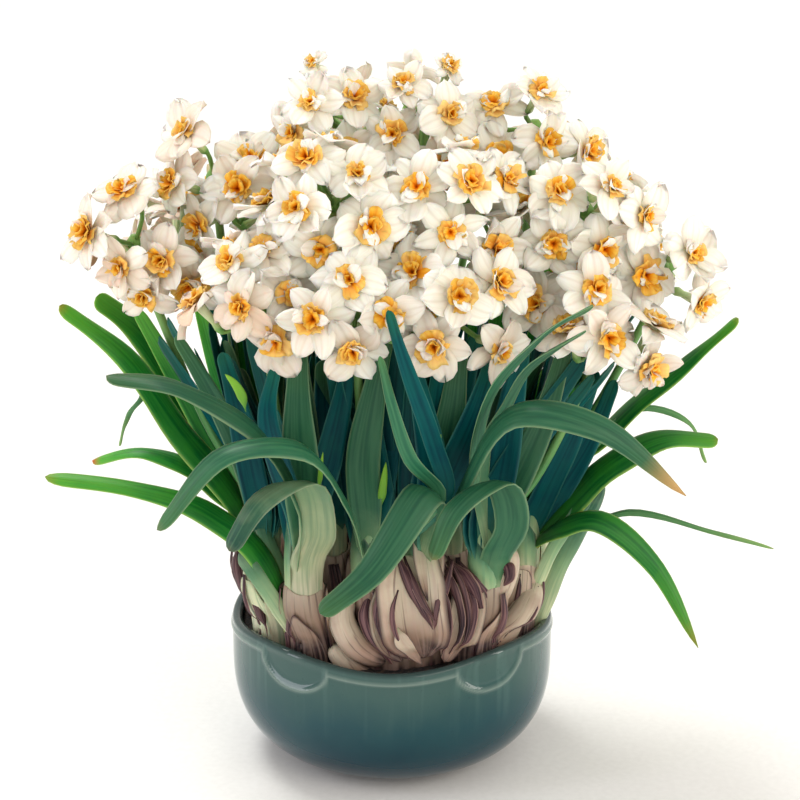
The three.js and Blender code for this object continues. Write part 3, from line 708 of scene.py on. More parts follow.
def glaze():
    """Celadon glaze fired on stoneware: a painted highlight along the collar's edge, worn dark on the lip,
    darker towards the foot, with a soft mottle under a clear, wet-looking surface."""
    material, tree, shader = finish("celadon_glaze", "#5E7B75", 0.06, IOR=1.5, Specular_IOR_Level=0.3)
    spot = add(tree, "ShaderNodeTexCoord").outputs["Object"]
    height = add(tree, "ShaderNodeSeparateXYZ", {"Vector": spot}).outputs["Z"]
    # The glaze is darker towards the foot and lighter up the wall, by height.
    height_share = add(tree, "ShaderNodeMapRange", {"Value": height, "From Min": 0.0, "From Max": 0.078})
    cloud = add(tree, "ShaderNodeTexNoise", {"Vector": spot, "Scale": 26, "Detail": 4, "Roughness": 0.55})
    uneven = add(tree, "ShaderNodeMath", {0: cloud, 1: 0.34}, operation="MULTIPLY")
    depth = add(tree, "ShaderNodeMath", {0: height_share, 1: uneven}, operation="ADD")
    depth = add(tree, "ShaderNodeMath", {0: depth, 1: 0.17}, operation="SUBTRACT")
    body = add(tree, "ShaderNodeValToRGB", {"Fac": depth}, stops=[
        (0.0, "#001C2A"), (0.3, "#00323E"), (0.55, "#18434A"), (0.8, "#355552"), (1.0, "#3E5854")])
    down = add(tree, "ShaderNodeMapping", {"Vector": spot, "Scale": (150, 150, 9)})
    runs = add(tree, "ShaderNodeTexNoise", {"Vector": down, "Scale": 1.0, "Detail": 2})
    run = add(tree, "ShaderNodeMapRange", {"Value": runs, "From Min": 0.5, "From Max": 0.75, "To Max": 0.3})
    high = add(tree, "ShaderNodeMapRange", {"Value": height, "From Min": 0.035, "From Max": 0.07})
    faded = add(tree, "ShaderNodeMath", {0: run, 1: high}, operation="MULTIPLY")
    fleck = add(tree, "ShaderNodeTexNoise", {"Vector": spot, "Scale": 420, "Detail": 2})
    marks = add(tree, "ShaderNodeAttribute", attribute_name="marks")
    lip = add(tree, "ShaderNodeSeparateColor", {"Color": marks})
    body = overlaid(tree, body, faded, 0, 1, 1, "#6F8F88")
    body = overlaid(tree, body, fleck, 0.68, 0.78, 0.35, "#1A3135")
    # Painted highlight: a pale line along the collar's edge, from the fourth mark.
    body = overlaid(tree, body, marks.outputs["Alpha"], 0, 1, 1, "#8FA198")
    body = overlaid(tree, body, lip, 0, 1, 0.7, "#364445")
    swell = add(tree, "ShaderNodeTexNoise", {"Vector": spot, "Scale": 60, "Detail": 2})
    bump = add(tree, "ShaderNodeBump", {"Height": swell, "Strength": 0.12, "Distance": 0.0008})
    wire(tree, shader, {"Base Color": body, "Normal": bump})
    return material


def damp_soil():
    """Damp peat and bark, sieved by hand: near black, with crumbs from 1 to 4 mm and dull wet glints."""
    material, tree, shader = finish("damp_potting_soil", "#1B1816", 0.85, IOR=1.4)
    spot = add(tree, "ShaderNodeTexCoord").outputs["Object"]
    crumb = add(tree, "ShaderNodeTexVoronoi", {"Vector": spot, "Scale": 420})
    cloud = add(tree, "ShaderNodeTexNoise", {"Vector": spot, "Scale": 180, "Detail": 6})
    tone = add(tree, "ShaderNodeMath", {0: crumb, 1: cloud}, operation="MULTIPLY")
    body = add(tree, "ShaderNodeValToRGB", {"Fac": tone}, stops=[
        (0.0, "#0B0B0E"), (0.18, "#191619"), (0.34, "#2C2420"), (0.6, "#4A3A2C")])
    bump = add(tree, "ShaderNodeBump", {"Height": tone, "Strength": 0.9, "Distance": 0.002})
    wet = add(tree, "ShaderNodeMapRange", {"Value": cloud, "To Min": 0.55, "To Max": 1.0})
    wire(tree, shader, {"Base Color": body, "Normal": bump, "Roughness": wet})
    return material


# How much light seeps into a surface, and how deep in metres.
OPAQUE = (0, 0.002)
LEAFY = (0.1, 0.0015)
FLESHY = (0.12, 0.002)
THIN = (0.2, 0.002)


def veined(name, roughness, stops, veins, tips, bump_mm, rim=None, blotch=None, crease=None, ior=1.42,
           shine=0.35, glow=LEAFY):
    """A surface with veins that run along it: their spacing in millimetres, share and colour. The ramp goes
    from the root of each copy to its tip, its own tone makes it darker or lighter, and the tip takes another
    colour by its blush mark. A rim dyes the edge, a blotch clouds the whole, and a crease darkens thin lines
    between the veins: each is a share and a colour."""
    material, tree, shader = finish(
        name, stops[1][1], roughness, IOR=ior, Specular_IOR_Level=shine, Subsurface_Weight=glow[0],
        Subsurface_Scale=glow[1])
    grain = add(tree, "ShaderNodeUVMap", uv_map="grain")
    marks = add(tree, "ShaderNodeAttribute", attribute_name="marks")
    along, edge, tone = add(tree, "ShaderNodeSeparateColor", {"Color": marks}).outputs
    spot = add(tree, "ShaderNodeTexCoord").outputs["Object"]
    cloud = add(tree, "ShaderNodeTexNoise", {"Vector": spot, "Scale": 70, "Detail": 4})
    shift = add(tree, "ShaderNodeMapRange", {"Value": cloud, "To Min": -0.12, "To Max": 0.12})
    place = add(tree, "ShaderNodeMath", {0: along, 1: shift}, operation="ADD")
    body = add(tree, "ShaderNodeValToRGB", {"Fac": place}, stops=stops)
    fine = 1000 / veins[0]
    stretch = add(tree, "ShaderNodeMapping", {"Vector": grain, "Scale": (fine, fine * 0.035, 1)})
    line = add(tree, "ShaderNodeTexNoise", {"Vector": stretch, "Scale": 1.0, "Detail": 3},
               noise_dimensions="2D")
    body = overlaid(tree, body, line, 0.4, 0.66, *veins[1:])
    if blotch:
        body = overlaid(tree, body, cloud, 0.46, 0.66, *blotch)
    if crease:
        body = overlaid(tree, body, line, 0.4, 0.3, *crease)
    own = add(tree, "ShaderNodeMapRange", {"Value": tone, "To Min": 0.72, "To Max": 1.22})
    body = add(tree, "ShaderNodeMix", {0: 1.0, MIX_A: body, MIX_B: own}, data_type="RGBA",
               blend_type="MULTIPLY")
    blush = add(tree, "ShaderNodeMath", {0: marks.outputs["Alpha"], 1: shift}, operation="ADD")
    body = overlaid(tree, body, blush, 0.12, 0.85, 1, tips)
    if rim:
        body = overlaid(tree, body, edge, 0.86, 1, *rim)
    bump = add(tree, "ShaderNodeBump", {"Height": line, "Strength": 0.5, "Distance": bump_mm * MM})
    wire(tree, shader, {"Base Color": body, "Normal": bump})
    return material


FINISHES = {
    "glaze": glaze(),
    "soil": damp_soil(),
    # A fleshy bulb scale: moist, waxy storage leaf, cream with pink and tan streaks, brown at torn edges.
    # Its ramp starts near black at the foot, where the bulb meets the soil, then dark brown: painted shade.
    "scale": veined("fleshy_bulb_scale", 0.5, [
        (0.0, "#0C0D14"), (0.1, "#2A2022"), (0.24, "#8C7562"), (0.45, "#BBAE9A"), (0.8, "#C8BEA8"),
        (1.0, "#B4B896")],
        (2.2, 0.4, "#B0948A"), "#5A3838", 0.3, rim=(0.9, "#2C1A22"), blotch=(0.5, "#9C8072"),
        crease=(0.6, "#5C3E42"), glow=FLESHY),
    # Dry tunic: the bulb's old outer scales, shrunk to a papery purple-brown skin with raised fibres.
    "tunic": veined("dry_bulb_tunic", 0.45, [
        (0.0, "#1C0F1A"), (0.4, "#3A1E2A"), (0.75, "#281523"), (1.0, "#5C3A3C")],
        (1.1, 0.4, "#A47C78"), "#1A0F18", 0.3, rim=(0.6, "#C09C8C"), crease=(0.8, "#120910"),
        ior=1.45, shine=0.3, glow=OPAQUE),
    # A blanched leaf sheath: wax over tissue that saw no light, so nearly white and striped with green.
    "sheath": veined("blanched_leaf_sheath", 0.45, [
        (0.0, "#D9D2B6"), (0.25, "#BFC79E"), (0.55, "#7FA276"), (0.8, "#34684C"), (1.0, "#1C4C40")],
        (1.8, 0.5, "#5C8A68"), "#8C6E50", 0.25, rim=(0.14, "#D4D8BA"), blotch=(0.25, "#A9BE92"),
        glow=FLESHY),
    # A strap leaf: a wax bloom over green tissue with parallel veins a millimetre or two apart.
    "leaf": veined("waxy_strap_leaf", 0.42, [
        (0.0, "#A3B088"), (0.1, "#6C9168"), (0.26, "#2A6448"), (0.8, "#1E583C"), (1.0, "#3E6B3A")],
        (1.7, 0.42, "#467C58"), "#B8925A", 0.2, rim=(0.45, "#93B184"), blotch=(0.3, "#2B6A48"),
        crease=(0.35, "#124638")),
    # The same leaf where light falls through it from behind: yellower and brighter.
    "sunlit": veined("backlit_strap_leaf", 0.42, [
        (0.0, "#8CA468"), (0.1, "#3C7C3E"), (0.4, "#0C6A2A"), (0.75, "#167A26"), (1.0, "#62B02E")],
        (1.7, 0.5, "#3E9C38"), "#B5642A", 0.2, rim=(0.55, "#A6D266"), blotch=(0.4, "#369426"),
        crease=(0.4, "#075A22"), glow=(0.15, 0.002)),
    # A leaf in the clump's shade: the same green, bluer and deeper.
    "shaded": veined("shaded_strap_leaf", 0.45, [
        (0.0, "#93A880"), (0.1, "#548264"), (0.26, "#0C5450"), (0.42, "#003E48"), (0.8, "#00464A"),
        (1.0, "#1E5E46")],
        (2.2, 0.45, "#0C5E5E"), "#8A7A4A", 0.15, rim=(0.4, "#4E8A7A"), blotch=(0.35, "#00544E"),
        crease=(0.4, "#002A38"), shine=0.12),
    # A young leaf that the sun falls through: thin tissue, so yellow-green.
    "young": veined("young_leaf", 0.45, [
        (0.0, "#4F8A3C"), (0.3, "#6FA83C"), (0.8, "#7FB83C"), (1.0, "#8FC048")],
        (1.8, 0.4, "#7DB52E"), "#8A7A4A", 0.15, shine=0.3, glow=THIN),
    # A flower stem: smooth, ribbed green tissue with a dull wax.
    "stem": veined("ribbed_green_stem", 0.45, [
        (0.0, "#5F8658"), (0.2, "#2C6440"), (0.7, "#4A7E48"), (1.0, "#86A95E")],
        (1.2, 0.45, "#5F9458"), "#8A8A4C", 0.15),
    # A flower's own stalk, from its greenish white tube through its swollen ovary to the knob.
    "pedicel": veined("slender_flower_stalk", 0.45, [
        (0.0, "#E3E4C4"), (0.3, "#B7C98C"), (0.45, "#6E9E50"), (1.0, "#86A95A")],
        (0.9, 0.4, "#5E9448"), "#8A8A4C", 0.12, glow=(0.15, 0.0015)),
    # A tepal: thin satin tissue full of air, so white, with faint lengthwise veins and a greenish claw.
    "tepal": veined("satin_white_tepal", 0.5, [
        (0.0, "#E6DC98"), (0.2, "#F1EAD9"), (0.55, "#F6F2E8"), (1.0, "#F9F6F0")],
        (2.6, 0.5, "#DFD4C3"), "#E8C8AE", 0.2, ior=1.4, glow=THIN),
    # A crown segment: a ruffled flap of the flower's corona, rich in orange pigment, paler at its lip.
    "crown": veined("ruffled_orange_crown", 0.5, [
        (0.0, "#EC7E0C"), (0.3, "#F19414"), (0.62, "#F4AE26"), (1.0, "#F7CC58")],
        (1.6, 0.45, "#E88406"), "#F6DC98", 0.2, rim=(0.5, "#FCDF86"), ior=1.4, shine=0.25, glow=OPAQUE),
    # A spathe: the dried papery bract that wrapped the buds.
    "spathe": veined("papery_spathe", 0.55, [
        (0.0, "#A9BA84"), (0.4, "#CDBB96"), (0.8, "#BC9F78"), (1.0, "#98745A")],
        (0.9, 0.45, "#9A7B5B"), "#8E6A4C", 0.15, ior=1.4, shine=0.3, glow=OPAQUE),
}

# The stamps: sheets for leaves, scales and petals, a shell and a skin for bulbs, and tubes for stems and
# daughter bulbs.
sheet = sheet_stamp(8, 30)
plain_sheet = sheet_stamp(6, 16)
strip = sheet_stamp(4, 14)
broad = sheet_stamp(4, 5)
small = sheet_stamp(3, 4)
ruffle = sheet_stamp(5, 3)
tuft = sheet_stamp(4, 2)
shell = sheet_stamp(18, 12)
skin = sheet_stamp(40, 26, walled=False)
cane = tube_stamp(10, 22)
bole = tube_stamp(26, 24)
twig = tube_stamp(6, 8)


# Bowl and soil

def bowl_radius(height, foot, widest, base):
    """A bowl's radius at a height: round from its foot out to its widest, then straight up."""
    share = np.clip((height - base) / (BOWL_WIDEST - base), 0, 1)
    return foot + (widest - foot) * np.sqrt(1 - (1 - share) ** 3)


def outer_radius(height):
    return bowl_radius(height, FOOT_RADIUS, BOWL_RADIUS, 0)


def wall_radius(height):
    return bowl_radius(height, FOOT_RADIUS - 4, BOWL_RADIUS - BOWL_WALL, BOWL_BASE)


def collar(bearing, height):
    """The raised collar: how far it stands out, and how near its edge is."""
    def edge_at(turn):
        half_turn = (turn + math.pi) % math.pi - math.pi / 2
        side = np.abs((np.abs(half_turn) - DIP_TURN) * BOWL_RADIUS) / DIP_HALF
        return COLLAR_EDGE - COLLAR_DIP * np.maximum(0, 1 - side ** 2.3) ** 0.62
    step = 0.004
    slope = (edge_at(bearing + step) - edge_at(bearing - step)) / (2 * step * BOWL_RADIUS)
    away = (height - edge_at(bearing)) / np.sqrt(1 + slope ** 2)
    crest = np.exp(-(away / 0.9) ** 2)
    inside = smooth(away, 0, 4) * (1 - smooth(height, 70, 74))
    return COLLAR_RISE * crest - 0.9 * inside, crest


def glazed_bowl():
    """Rings drawn up from the foot, over the lip and down inside, then pulled into lobes and relief."""
    outer = [*OUTER_RINGS, *np.arange(*EVEN_RINGS)]
    rings = [(float(outer_radius(h)), h) for h in outer]
    half = BOWL_WALL / 2
    rings += [(BOWL_RADIUS - half + half * math.cos(a), BOWL_HEIGHT - 2 + 2 * math.sin(a))
              for a in np.radians(np.arange(0, 181, 20))]
    rings += [(float(wall_radius(h)), h) for h in INNER_RINGS]
    rings += [(20, BOWL_BASE), (8, BOWL_BASE)]
    start_clean()
    radius, height = rings[0]
    bpy.ops.mesh.primitive_circle_add(vertices=BOWL_SIDES, radius=radius * MM, fill_type="NGON")
    bowl = bpy.context.object
    bowl.name = bowl.data.name = "glazed_bowl"
    bpy.ops.object.mode_set(mode="EDIT")
    bpy.ops.mesh.select_all(action="SELECT")
    for next_radius, next_height in rings[1:]:
        bpy.ops.mesh.extrude_region_move(
            TRANSFORM_OT_translate={"value": (0, 0, (next_height - height) * MM)})
        scale = next_radius / radius
        bpy.ops.transform.resize(value=(scale, scale, 1))
        radius, height = next_radius, next_height
    end_edit(merge=1e-6)
    points = points_of(bowl) / MM
    bearing = np.arctan2(points[:, 1], points[:, 0])
    reach = np.hypot(points[:, 0], points[:, 1])
    outside = reach > outer_radius(points[:, 2]) - 0.8
    rise, crest = collar(bearing, points[:, 2])
    scale = 1 + np.where(outside, rise, 0) / np.maximum(reach, 1)
    points[:, 0] *= scale
    points[:, 1] *= scale
    lift = smooth(points[:, 2], LOBES_FROM, BOWL_HEIGHT)
    lobes = RIM_RISE * lift * np.cos(RIM_LOBES * (bearing - math.pi / 4))
    points[:, 2] += lobes
    bowl.data.vertices.foreach_set("co", (points * MM).ravel())
    lip = smooth(points[:, 2] - lobes, *LIP_WORN)
    # The fourth mark is a painted highlight along the collar's edge, on the outside only.
    pale = np.clip(np.where(outside, crest * 0.5, 0), 0, 1)
    add_marks(bowl.data, np.stack([lip, crest, np.full(len(points), 0.5), pale], axis=1))
    bowl.data.materials.append(FINISHES["glaze"])
    bpy.ops.object.shade_smooth()
    return belongs(bowl, ["bowl"])


def potting_soil():
    """A crumbly fill, flat in the main, with its surface pushed up and down by crumbs."""
    heap = Heap()
    fill = sheet_stamp(150, 46, walled=False)
    x, y = fill.points[:, 0], fill.points[:, 1]
    bearing = (x + 0.5) * math.pi * 2
    path = Course([
        *((reach, SOIL_LEVEL) for reach in (0.01, 30, 55)),
        *((float(wall_radius(height)) - 1, height) for height in (SOIL_LEVEL, 40, 15)),
        (18, BOWL_BASE + 0.4), (0.01, BOWL_BASE + 0.4)])
    spot = path.at(np.minimum(y, 1))
    crumbs = sum(
        size * np.array([
            noise.noise(Vector((r * math.cos(b), r * math.sin(b), seed)) * fine)
            for r, b in zip(spot[:, 0], bearing)])
        for seed, fine, size in CRUMBS)
    closed = np.where(x > 0.4999, 0, bearing)
    top = smooth(spot[:, 1], SOIL_LEVEL - 4, SOIL_LEVEL - 1)
    heaped = 4.6 * smooth(spot[:, 0], *SOIL_BANK) + 1.2 * smooth(spot[:, 0], 64, 72) * np.sin(bearing * 9 + 1)
    height = spot[:, 1] + (crumbs + heaped - 0.6) * top
    points = np.stack([spot[:, 0] * np.cos(closed), spot[:, 0] * np.sin(closed), height], axis=1)
    heap.add(fill, points, (x, y), y, 0.5, 0.5)
    return piece_from(heap, "potting_soil", ["soil"], ["soil"], merge=2e-5)


glazed_bowl()
potting_soil()


# Bulbs

class BulbForm:
    """A bulb's round form up to one of its necks: radius, lean towards the neck, and height."""

    def __init__(self, place, radius, neck, rings):
        self.place = np.array(place, float)
        self.neck = neck[:2]
        self.low = SOIL_LEVEL - 12 - radius * 0.5
        self.sunk = (SOIL_LEVEL + 1 - self.low) / (NECK_TOP - self.low)
        self.path = Course([(r, lean, mix(self.low, NECK_TOP, t)) for r, lean, t in rings])

    def bare(self, share):
        """How far up its bare part a share of the bulb's height is."""
        return np.clip((share - self.sunk) / (1 - self.sunk), 0, 1)

    def at(self, bearing, share, lift=0.0):
        ring = self.path.at(share)
        centre = mix(self.place, self.neck, ring[:, 1:2])
        reach = ring[:, 0] + lift
        return np.stack([centre[:, 0] + reach * np.cos(bearing), centre[:, 1] + reach * np.sin(bearing),
                         ring[:, 2]], axis=1)


# A neck's end: its top, its rim, and a little way down inside, where it is closed.
NECK_END = [
    (NECK_RADIUS - 0.9, 1, 0.982), (SHEATH_RADIUS + 0.3, 1, 0.992), (SHEATH_RADIUS - 0.4, 1, 0.9),
    (0.02, 1, 0.88)]


def body_rings(radius):
    """The rings of a bulb's body, from its closed base to its widest."""
    return [(0.02, 0, 0), (radius * 0.6, 0, 0.01), (radius * 0.98, 0, 0.4)]


def necked(place, radius, neck):
    """A bulb with one neck."""
    shoulder = mix(NECK_RADIUS, radius, 0.4)
    return BulbForm(place, radius, neck, [
        *body_rings(radius), (radius * 0.94, 0.25, 0.58), (shoulder, 0.85, 0.8), *NECK_END])


def stump(place, radius, neck):
    """One of two necks, from inside the body up."""
    thick = NECK_RADIUS * 1.2
    return BulbForm(place, radius, neck, [
        (0.02, 0.3, 0.3), (thick, 0.33, 0.4), (thick, 0.55, 0.6), (NECK_RADIUS * 1.1, 0.85, 0.8),
        *NECK_END])


def trunk(place, radius, neck):
    """The body that carries two necks."""
    return BulbForm(place, radius, neck, [
        *body_rings(radius), (radius * 0.94, 0, 0.58), (radius * 0.62, 0, 0.8), (0.02, 0, 0.88)])


def skinned(heap, form, number, furrow=0.5, grown=1.0):
    """The whole round skin of a form, with shallow lengthwise furrows."""
    x, y = skin.points[:, 0], skin.points[:, 1]
    bearing = (np.where(x > 0.4999, -0.5, x) + 0.5) * math.pi * 2
    inner = 1 - smooth(y, 0.6, 0.7)
    waves = furrow * inner * (np.sin(bearing * 5 + number) * 0.6 + np.sin(bearing * 11 + number * 2) * 0.4)
    points = form.at(bearing, y, waves)
    ragged = np.sin(bearing * 2 + number) * 1.4 + np.sin(bearing * 5 + number * 1.7) * 0.35
    points[:, 2] += smooth(points[:, 2], NECK_TOP - 12, NECK_TOP) * ragged
    heap.add(skin, points, (x * 70, y * 80), form.bare(y) * grown, 0.3, draw(number, 41), 0.05)


def scaled(heap, form, number, middle, half, low, high, lift, dry=0.1, grown=1.0):
    """One scale, fleshy or dry, that wraps part of a form, with a torn, drooping top edge."""
    x, y, z = shell.points.T
    across = x * 2
    tear = 0.018 * np.sin(across * 3.3 + number) + 0.012 * np.sin(across * 7.1 + number * 3)
    top = high - (0.06 + 0.16 * draw(number, 45)) * across ** 2 + tear
    share = mix(low, top, y)
    edge = np.maximum(np.abs(across), smooth(y, 0.75, 1))
    bearing = middle + across * half * (1 - 0.25 * y)
    out = lift + 0.5 * edge ** 4 + z * 0.7 * (1 - 0.5 * edge)
    points = form.at(bearing, share, out)
    heap.add(shell, points, (x * half * 30, y * 40), form.bare(share * 1.15) * grown, edge, draw(number, 43),
             np.clip(dry + 0.5 * grown * smooth(y, 0.9, 1), 0, 1))


ACROSS = np.array((1.0, 0, 0))


def ribbon(heap, stamp, course, width, side, turns, tone, dry=0.0, thick=LEAF_THICK, channel=LEAF_CHANNEL,
           root=LEAF_ROOT, blunt=LEAF_TIP, ripple=0.4, finish=0, phase=0.0, rounded=False,
           downwards=False, wrap=0.0):
    """A strap that follows a course, folded to a shallow channel, with a rounded or a pointed tip. Its turns
    are how far it is rolled at the root and how far it twists from there. A downward one has its root at the
    course's end. One that wraps a sheath curves back round it at its root."""
    x, y, z = stamp.points.T
    if rounded:
        y = 1 - (1 - y) ** 1.5
    along = course.heading(y)
    flat = unit(side - along * np.sum(side * along, axis=1, keepdims=True))
    flat = turned(flat, along, (turns[0] + turns[1] * y)[:, None])
    face = np.cross(flat, along)
    tip = np.maximum(0, (y - blunt) / (1 - blunt))
    narrowed = np.maximum(0.004, 1 - tip ** 1.9) ** 0.72
    if rounded:
        end = np.maximum(0, (y - 0.955) / 0.045)
        narrowed = (1 - 0.5 * smooth(y, blunt, 1)) * np.sqrt(np.maximum(1e-4, 1 - end ** 2))
    taper = mix(root, 1, smooth(y, 0, 0.35)) * narrowed
    across = x * 2
    body = thick * (1 - 0.75 * across ** 2) * np.minimum(1, 0.35 + taper)
    fold = mix(-wrap, channel, smooth(y, 0.12, 0.36)) if wrap else channel
    bend = width * fold * taper * np.abs(across) ** 1.6
    wave = ripple * np.abs(across) ** 2 * np.sin(y * 19 + phase + across * 0.8) * smooth(y, 0.1, 0.4)
    points = (course.at(y) + flat * (across * width / 2 * taper)[:, None]
              + face * (bend + wave + z * body)[:, None])
    length = np.sum(np.linalg.norm(np.diff(course.at(np.linspace(0, 1, 40)), axis=0), axis=1))
    heap.add(stamp, points, (x * width, y * length), 1 - y if downwards else y, np.abs(across), tone, dry,
             finish)


def cane_along(heap, stamp, course, radius_at, side, tone, blush=0.0, finish=0, furrow=0.0):
    """A round stem along a course, with lengthwise furrows where it has them."""
    x, y, z = stamp.points.T
    along = course.heading(z)
    first = unit(side - along * np.sum(side * along, axis=1, keepdims=True))
    second = np.cross(along, first)
    radius = radius_at(z)
    angle = np.arctan2(y, x)
    radius = radius * (1 + furrow * (np.sin(angle * 3 + tone * 9) + 0.6 * np.sin(angle * 7 + tone * 20)))
    points = course.at(z) + first * (x * radius)[:, None] + second * (y * radius)[:, None]
    around = np.max(radius)
    heap.add(stamp, points, (np.abs(angle) * around, z * 100), z, 0.0, tone, blush, finish)


def front_extras(scales, tunic):
    """The daughter bulbs, the folded scales and the loose tunic that lie on the front bulb."""
    for number, (radius, course) in enumerate(DAUGHTERS):
        cane_along(scales, bole, sighted(course[::-1]),
                   lambda z: radius * np.sqrt(np.maximum(0.02, 1 - (2 * z - 1) ** 4)) * mix(1.1, 0.8, z),
                   ACROSS, mix(0.4, 0.8, draw(number, 47)), 0.05, furrow=0.03)
    for number, (width, course, root, blunt) in enumerate(FRONT_SCALES):
        ribbon(scales, sheet, sighted(course), width, ACROSS, (0, spread(number, 55, 0.2)),
               mix(0.4, 0.8, draw(number, 57)), 0.05, 1.6, channel=-0.2, root=root, blunt=blunt, ripple=0.3,
               phase=number, downwards=True)
    for number, (width, course, twist) in enumerate(FRONT_TUNIC):
        ribbon(tunic, strip, sighted(course), width, ACROSS, (0.2, twist), draw(number, 53), 0.1, 0.5,
               channel=0.26, root=0.35, blunt=0.45, phase=number)


def within_wall(points):
    """Points in the bowl, moved in where they would stand in its wall."""
    reach = np.hypot(points[:, 0], points[:, 1])
    limit = mix(wall_radius(points[:, 2]) - 1.2, reach, smooth(points[:, 2], 80, 87))
    share = np.minimum(1, limit / np.maximum(reach, 1))
    return points * np.stack([share, share, np.ones(len(points))], axis=1)


def bulb(number):
    """A bulb's skin, the scales that wrap it, and what is left of its tunic."""
    place, radius, _, offsets = BULBS[number]
    necks = [neck_at(place, offset) for offset in offsets]
    scales, tunic = Heap(), Heap()
    grown = 0.4 if number in BLANCHED else 1.0
    low = 0.12 if len(necks) == 1 else 0.2
    if len(necks) == 1:
        forms = [necked(place, radius, necks[0])]
        skinned(scales, forms[0], number, grown=grown)
    else:
        forms = [stump(place, radius, neck) for neck in necks]
        skinned(scales, trunk(place, radius, necks[0]), number)
        for k, form in enumerate(forms):
            skinned(scales, form, number + 20 * k, 0.3)
    outwards = math.atan2(place[1], place[0] or 0.001)
    for k, form in enumerate(forms):
        seed = number * 7 + k
        for s in range(3):
            middle = outwards + s * 2.1 + spread(seed + s, 61, 0.4)
            scaled(scales, form, seed + s, middle, 1.15, low, 0.66 + 0.06 * s - 0.22 * draw(seed + s, 63),
                   0.5 + 0.5 * s, 0.05, grown)
        for s in range(TUNIC_PATCHES[number]):
            middle = outwards + 1.0 + s * 2.6 + spread(seed + s, 67, 0.7)
            scaled(tunic, form, seed + s + 3, middle, 0.45, low, 0.42 + 0.16 * draw(seed + s, 69),
                   2.0 + 0.3 * s, 0.2)
        for s in range(1 + TUNIC_PATCHES[number]):
            turn = outwards + spread(seed * 3 + s, 71, 1.6)
            shares = np.array([0.62, 0.5, 0.38, 0.26]) - 0.05 * draw(seed + s, 73)
            line = Course(np.vstack([
                form.at(turn + drift, share, lift + 1.4)
                for share, lift, drift in zip(shares, (0.2, 1.4, 1.2, 0.6), (0, 0.06, 0.1, 0.2))]))
            ribbon(tunic, strip, line, 2.4 + 2 * draw(seed + s, 75), beside(level(turn)),
                   (0, spread(seed + s, 77, 1.4)), draw(seed + s, 79), 0.2, 0.4, channel=0.2, root=0.8,
                   blunt=0.8, ripple=0.3)
    if number == 0:
        front_extras(scales, tunic)
    for heap in (scales, tunic):
        heap.points = [within_wall(points) for points in heap.points]
    name = f"bulb_{number + 1:02d}"
    skin_finish = "sheath" if number in BLANCHED else "scale"
    piece_from(scales, name + "_scales", [skin_finish], [name], merge=1e-5)
    piece_from(tunic, name + "_tunic", ["tunic"], [name])


for number in range(len(BULBS)):
    bulb(number)


# Shoots

def own_leaves(heap, shoot, index, count):
    """The shoot's own leaves: two on the inner side of the scape and, where there are three, one outside."""
    for k, (offset, rank) in enumerate([(4.4, -1), (7, -1), (4.4, 1)][:count]):
        number = index * 3 + k
        tall = mix(198, 232, draw(number, 21)) - offset
        lean = offset * 1.8 + mix(6, 10, draw(number, 22))
        drift = spread(number, 23, 6)
        stops = [
            shoot.at_height(height)[0] + shoot.out * away * rank + shoot.across * drift * share
            for height, away, share in (
                (SHEATH_TOP - 16, offset * 0.5, 0), (SHEATH_TOP + 14, offset + 1, 0.1), (tall, lean, 1))]
        width = LEAF_WIDTH * (0.85 if offset > 5 else 1)
        ribbon(heap, sheet, Course(stops), width, shoot.across * rank, (0, spread(number, 24, 0.25)),
               mix(0.15, 0.75, draw(number, 81)), ripple=0.5, phase=number, rounded=True)


def long_leaf(heap, number):
    """A leaf that the photograph shows on its own, from its sheath, its foot or round its sheath."""
    index, width, course, dry, kind = LONG_LEAVES[number]
    neck = shoots[index].neck
    to_tip = unit((sight(*course[-1]) - neck) * (1, 1, 0))
    feet = [neck + to_tip * 2.6 + (0, 0, SHEATH_TOP - 14 - NECK_TOP)]
    roll, turn, root, wrap = LONG_ROLL * to_tip[0], spread(number, 31, 0.3), LEAF_ROOT, 0.0
    if number in LOW_FEET:
        feet = [sight(*stop) for stop in LOW_FEET[number]]
    if number in WRAPPED:
        out = unit((sight(*course[0]) - neck) * (1, 1, 0))
        feet = [neck + out * 8.8 + (0, 0, -5), neck + out * 9 + (0, 0, 14)]
        twist = math.atan2(out[1], out[0]) - math.atan2(to_tip[1], to_tip[0])
        roll, turn, root, wrap = twist, roll - twist, 0.9, 0.24
    brown = dry * smooth(sheet.points[:, 1], 0.84, 1.0)
    tone = LONG_TONES.get(number, mix(0.15, 0.6, draw(number, 83)))
    ribbon(heap, sheet, sighted(course, *feet), width, beside(to_tip), (roll, turn), tone, brown, root=root,
           ripple=0.5, finish=kind, phase=number, rounded=number not in POINTED, wrap=wrap)


def upright_leaf(heap, number, leaf, kind):
    """A broad leaf that stands in the clump, from its bulb's neck up."""
    index, width, course = leaf
    neck = shoots[index].neck
    start = neck + (sight(*course[0]) - neck) * (0.25, 0.25, 0)
    start[2] = NECK_TOP + 6
    ribbon(heap, sheet, sighted(course, start), width, ACROSS,
           (spread(number, 32, 0.2), spread(number, 33, 0.5)), mix(0.1, 0.8, draw(number, 34)), finish=kind,
           phase=number, rounded=True)


def filler_leaves(heap, shoot, index):
    """Leaves that fill the clump between the fans, broad side out, up into the lowest blooms."""
    for k in range(FILLERS):
        number = index * FILLERS + k
        out = level(math.radians(BULBS[shoot.bulb][2]) + k * 2.4 + spread(number, 91, 0.8))
        tall = mix(196, 240, draw(number, 92))
        lean = mix(6, 18, draw(number, 93))
        stops = [shoot.at_height(height)[0] + out * away
                 for height, away in ((SHEATH_TOP - 18, 1.5), (SHEATH_TOP + 18, 6), (tall, lean))]
        side = beside(unit((shoot.neck + out * 12) * (1, 1, 0)))
        ribbon(heap, plain_sheet, Course(stops), mix(12, 17, draw(number, 94)), side,
               (0, spread(number, 95, 0.5)), mix(0.0, 0.8, draw(number, 96)), finish=SHADED, phase=number,
               rounded=True)


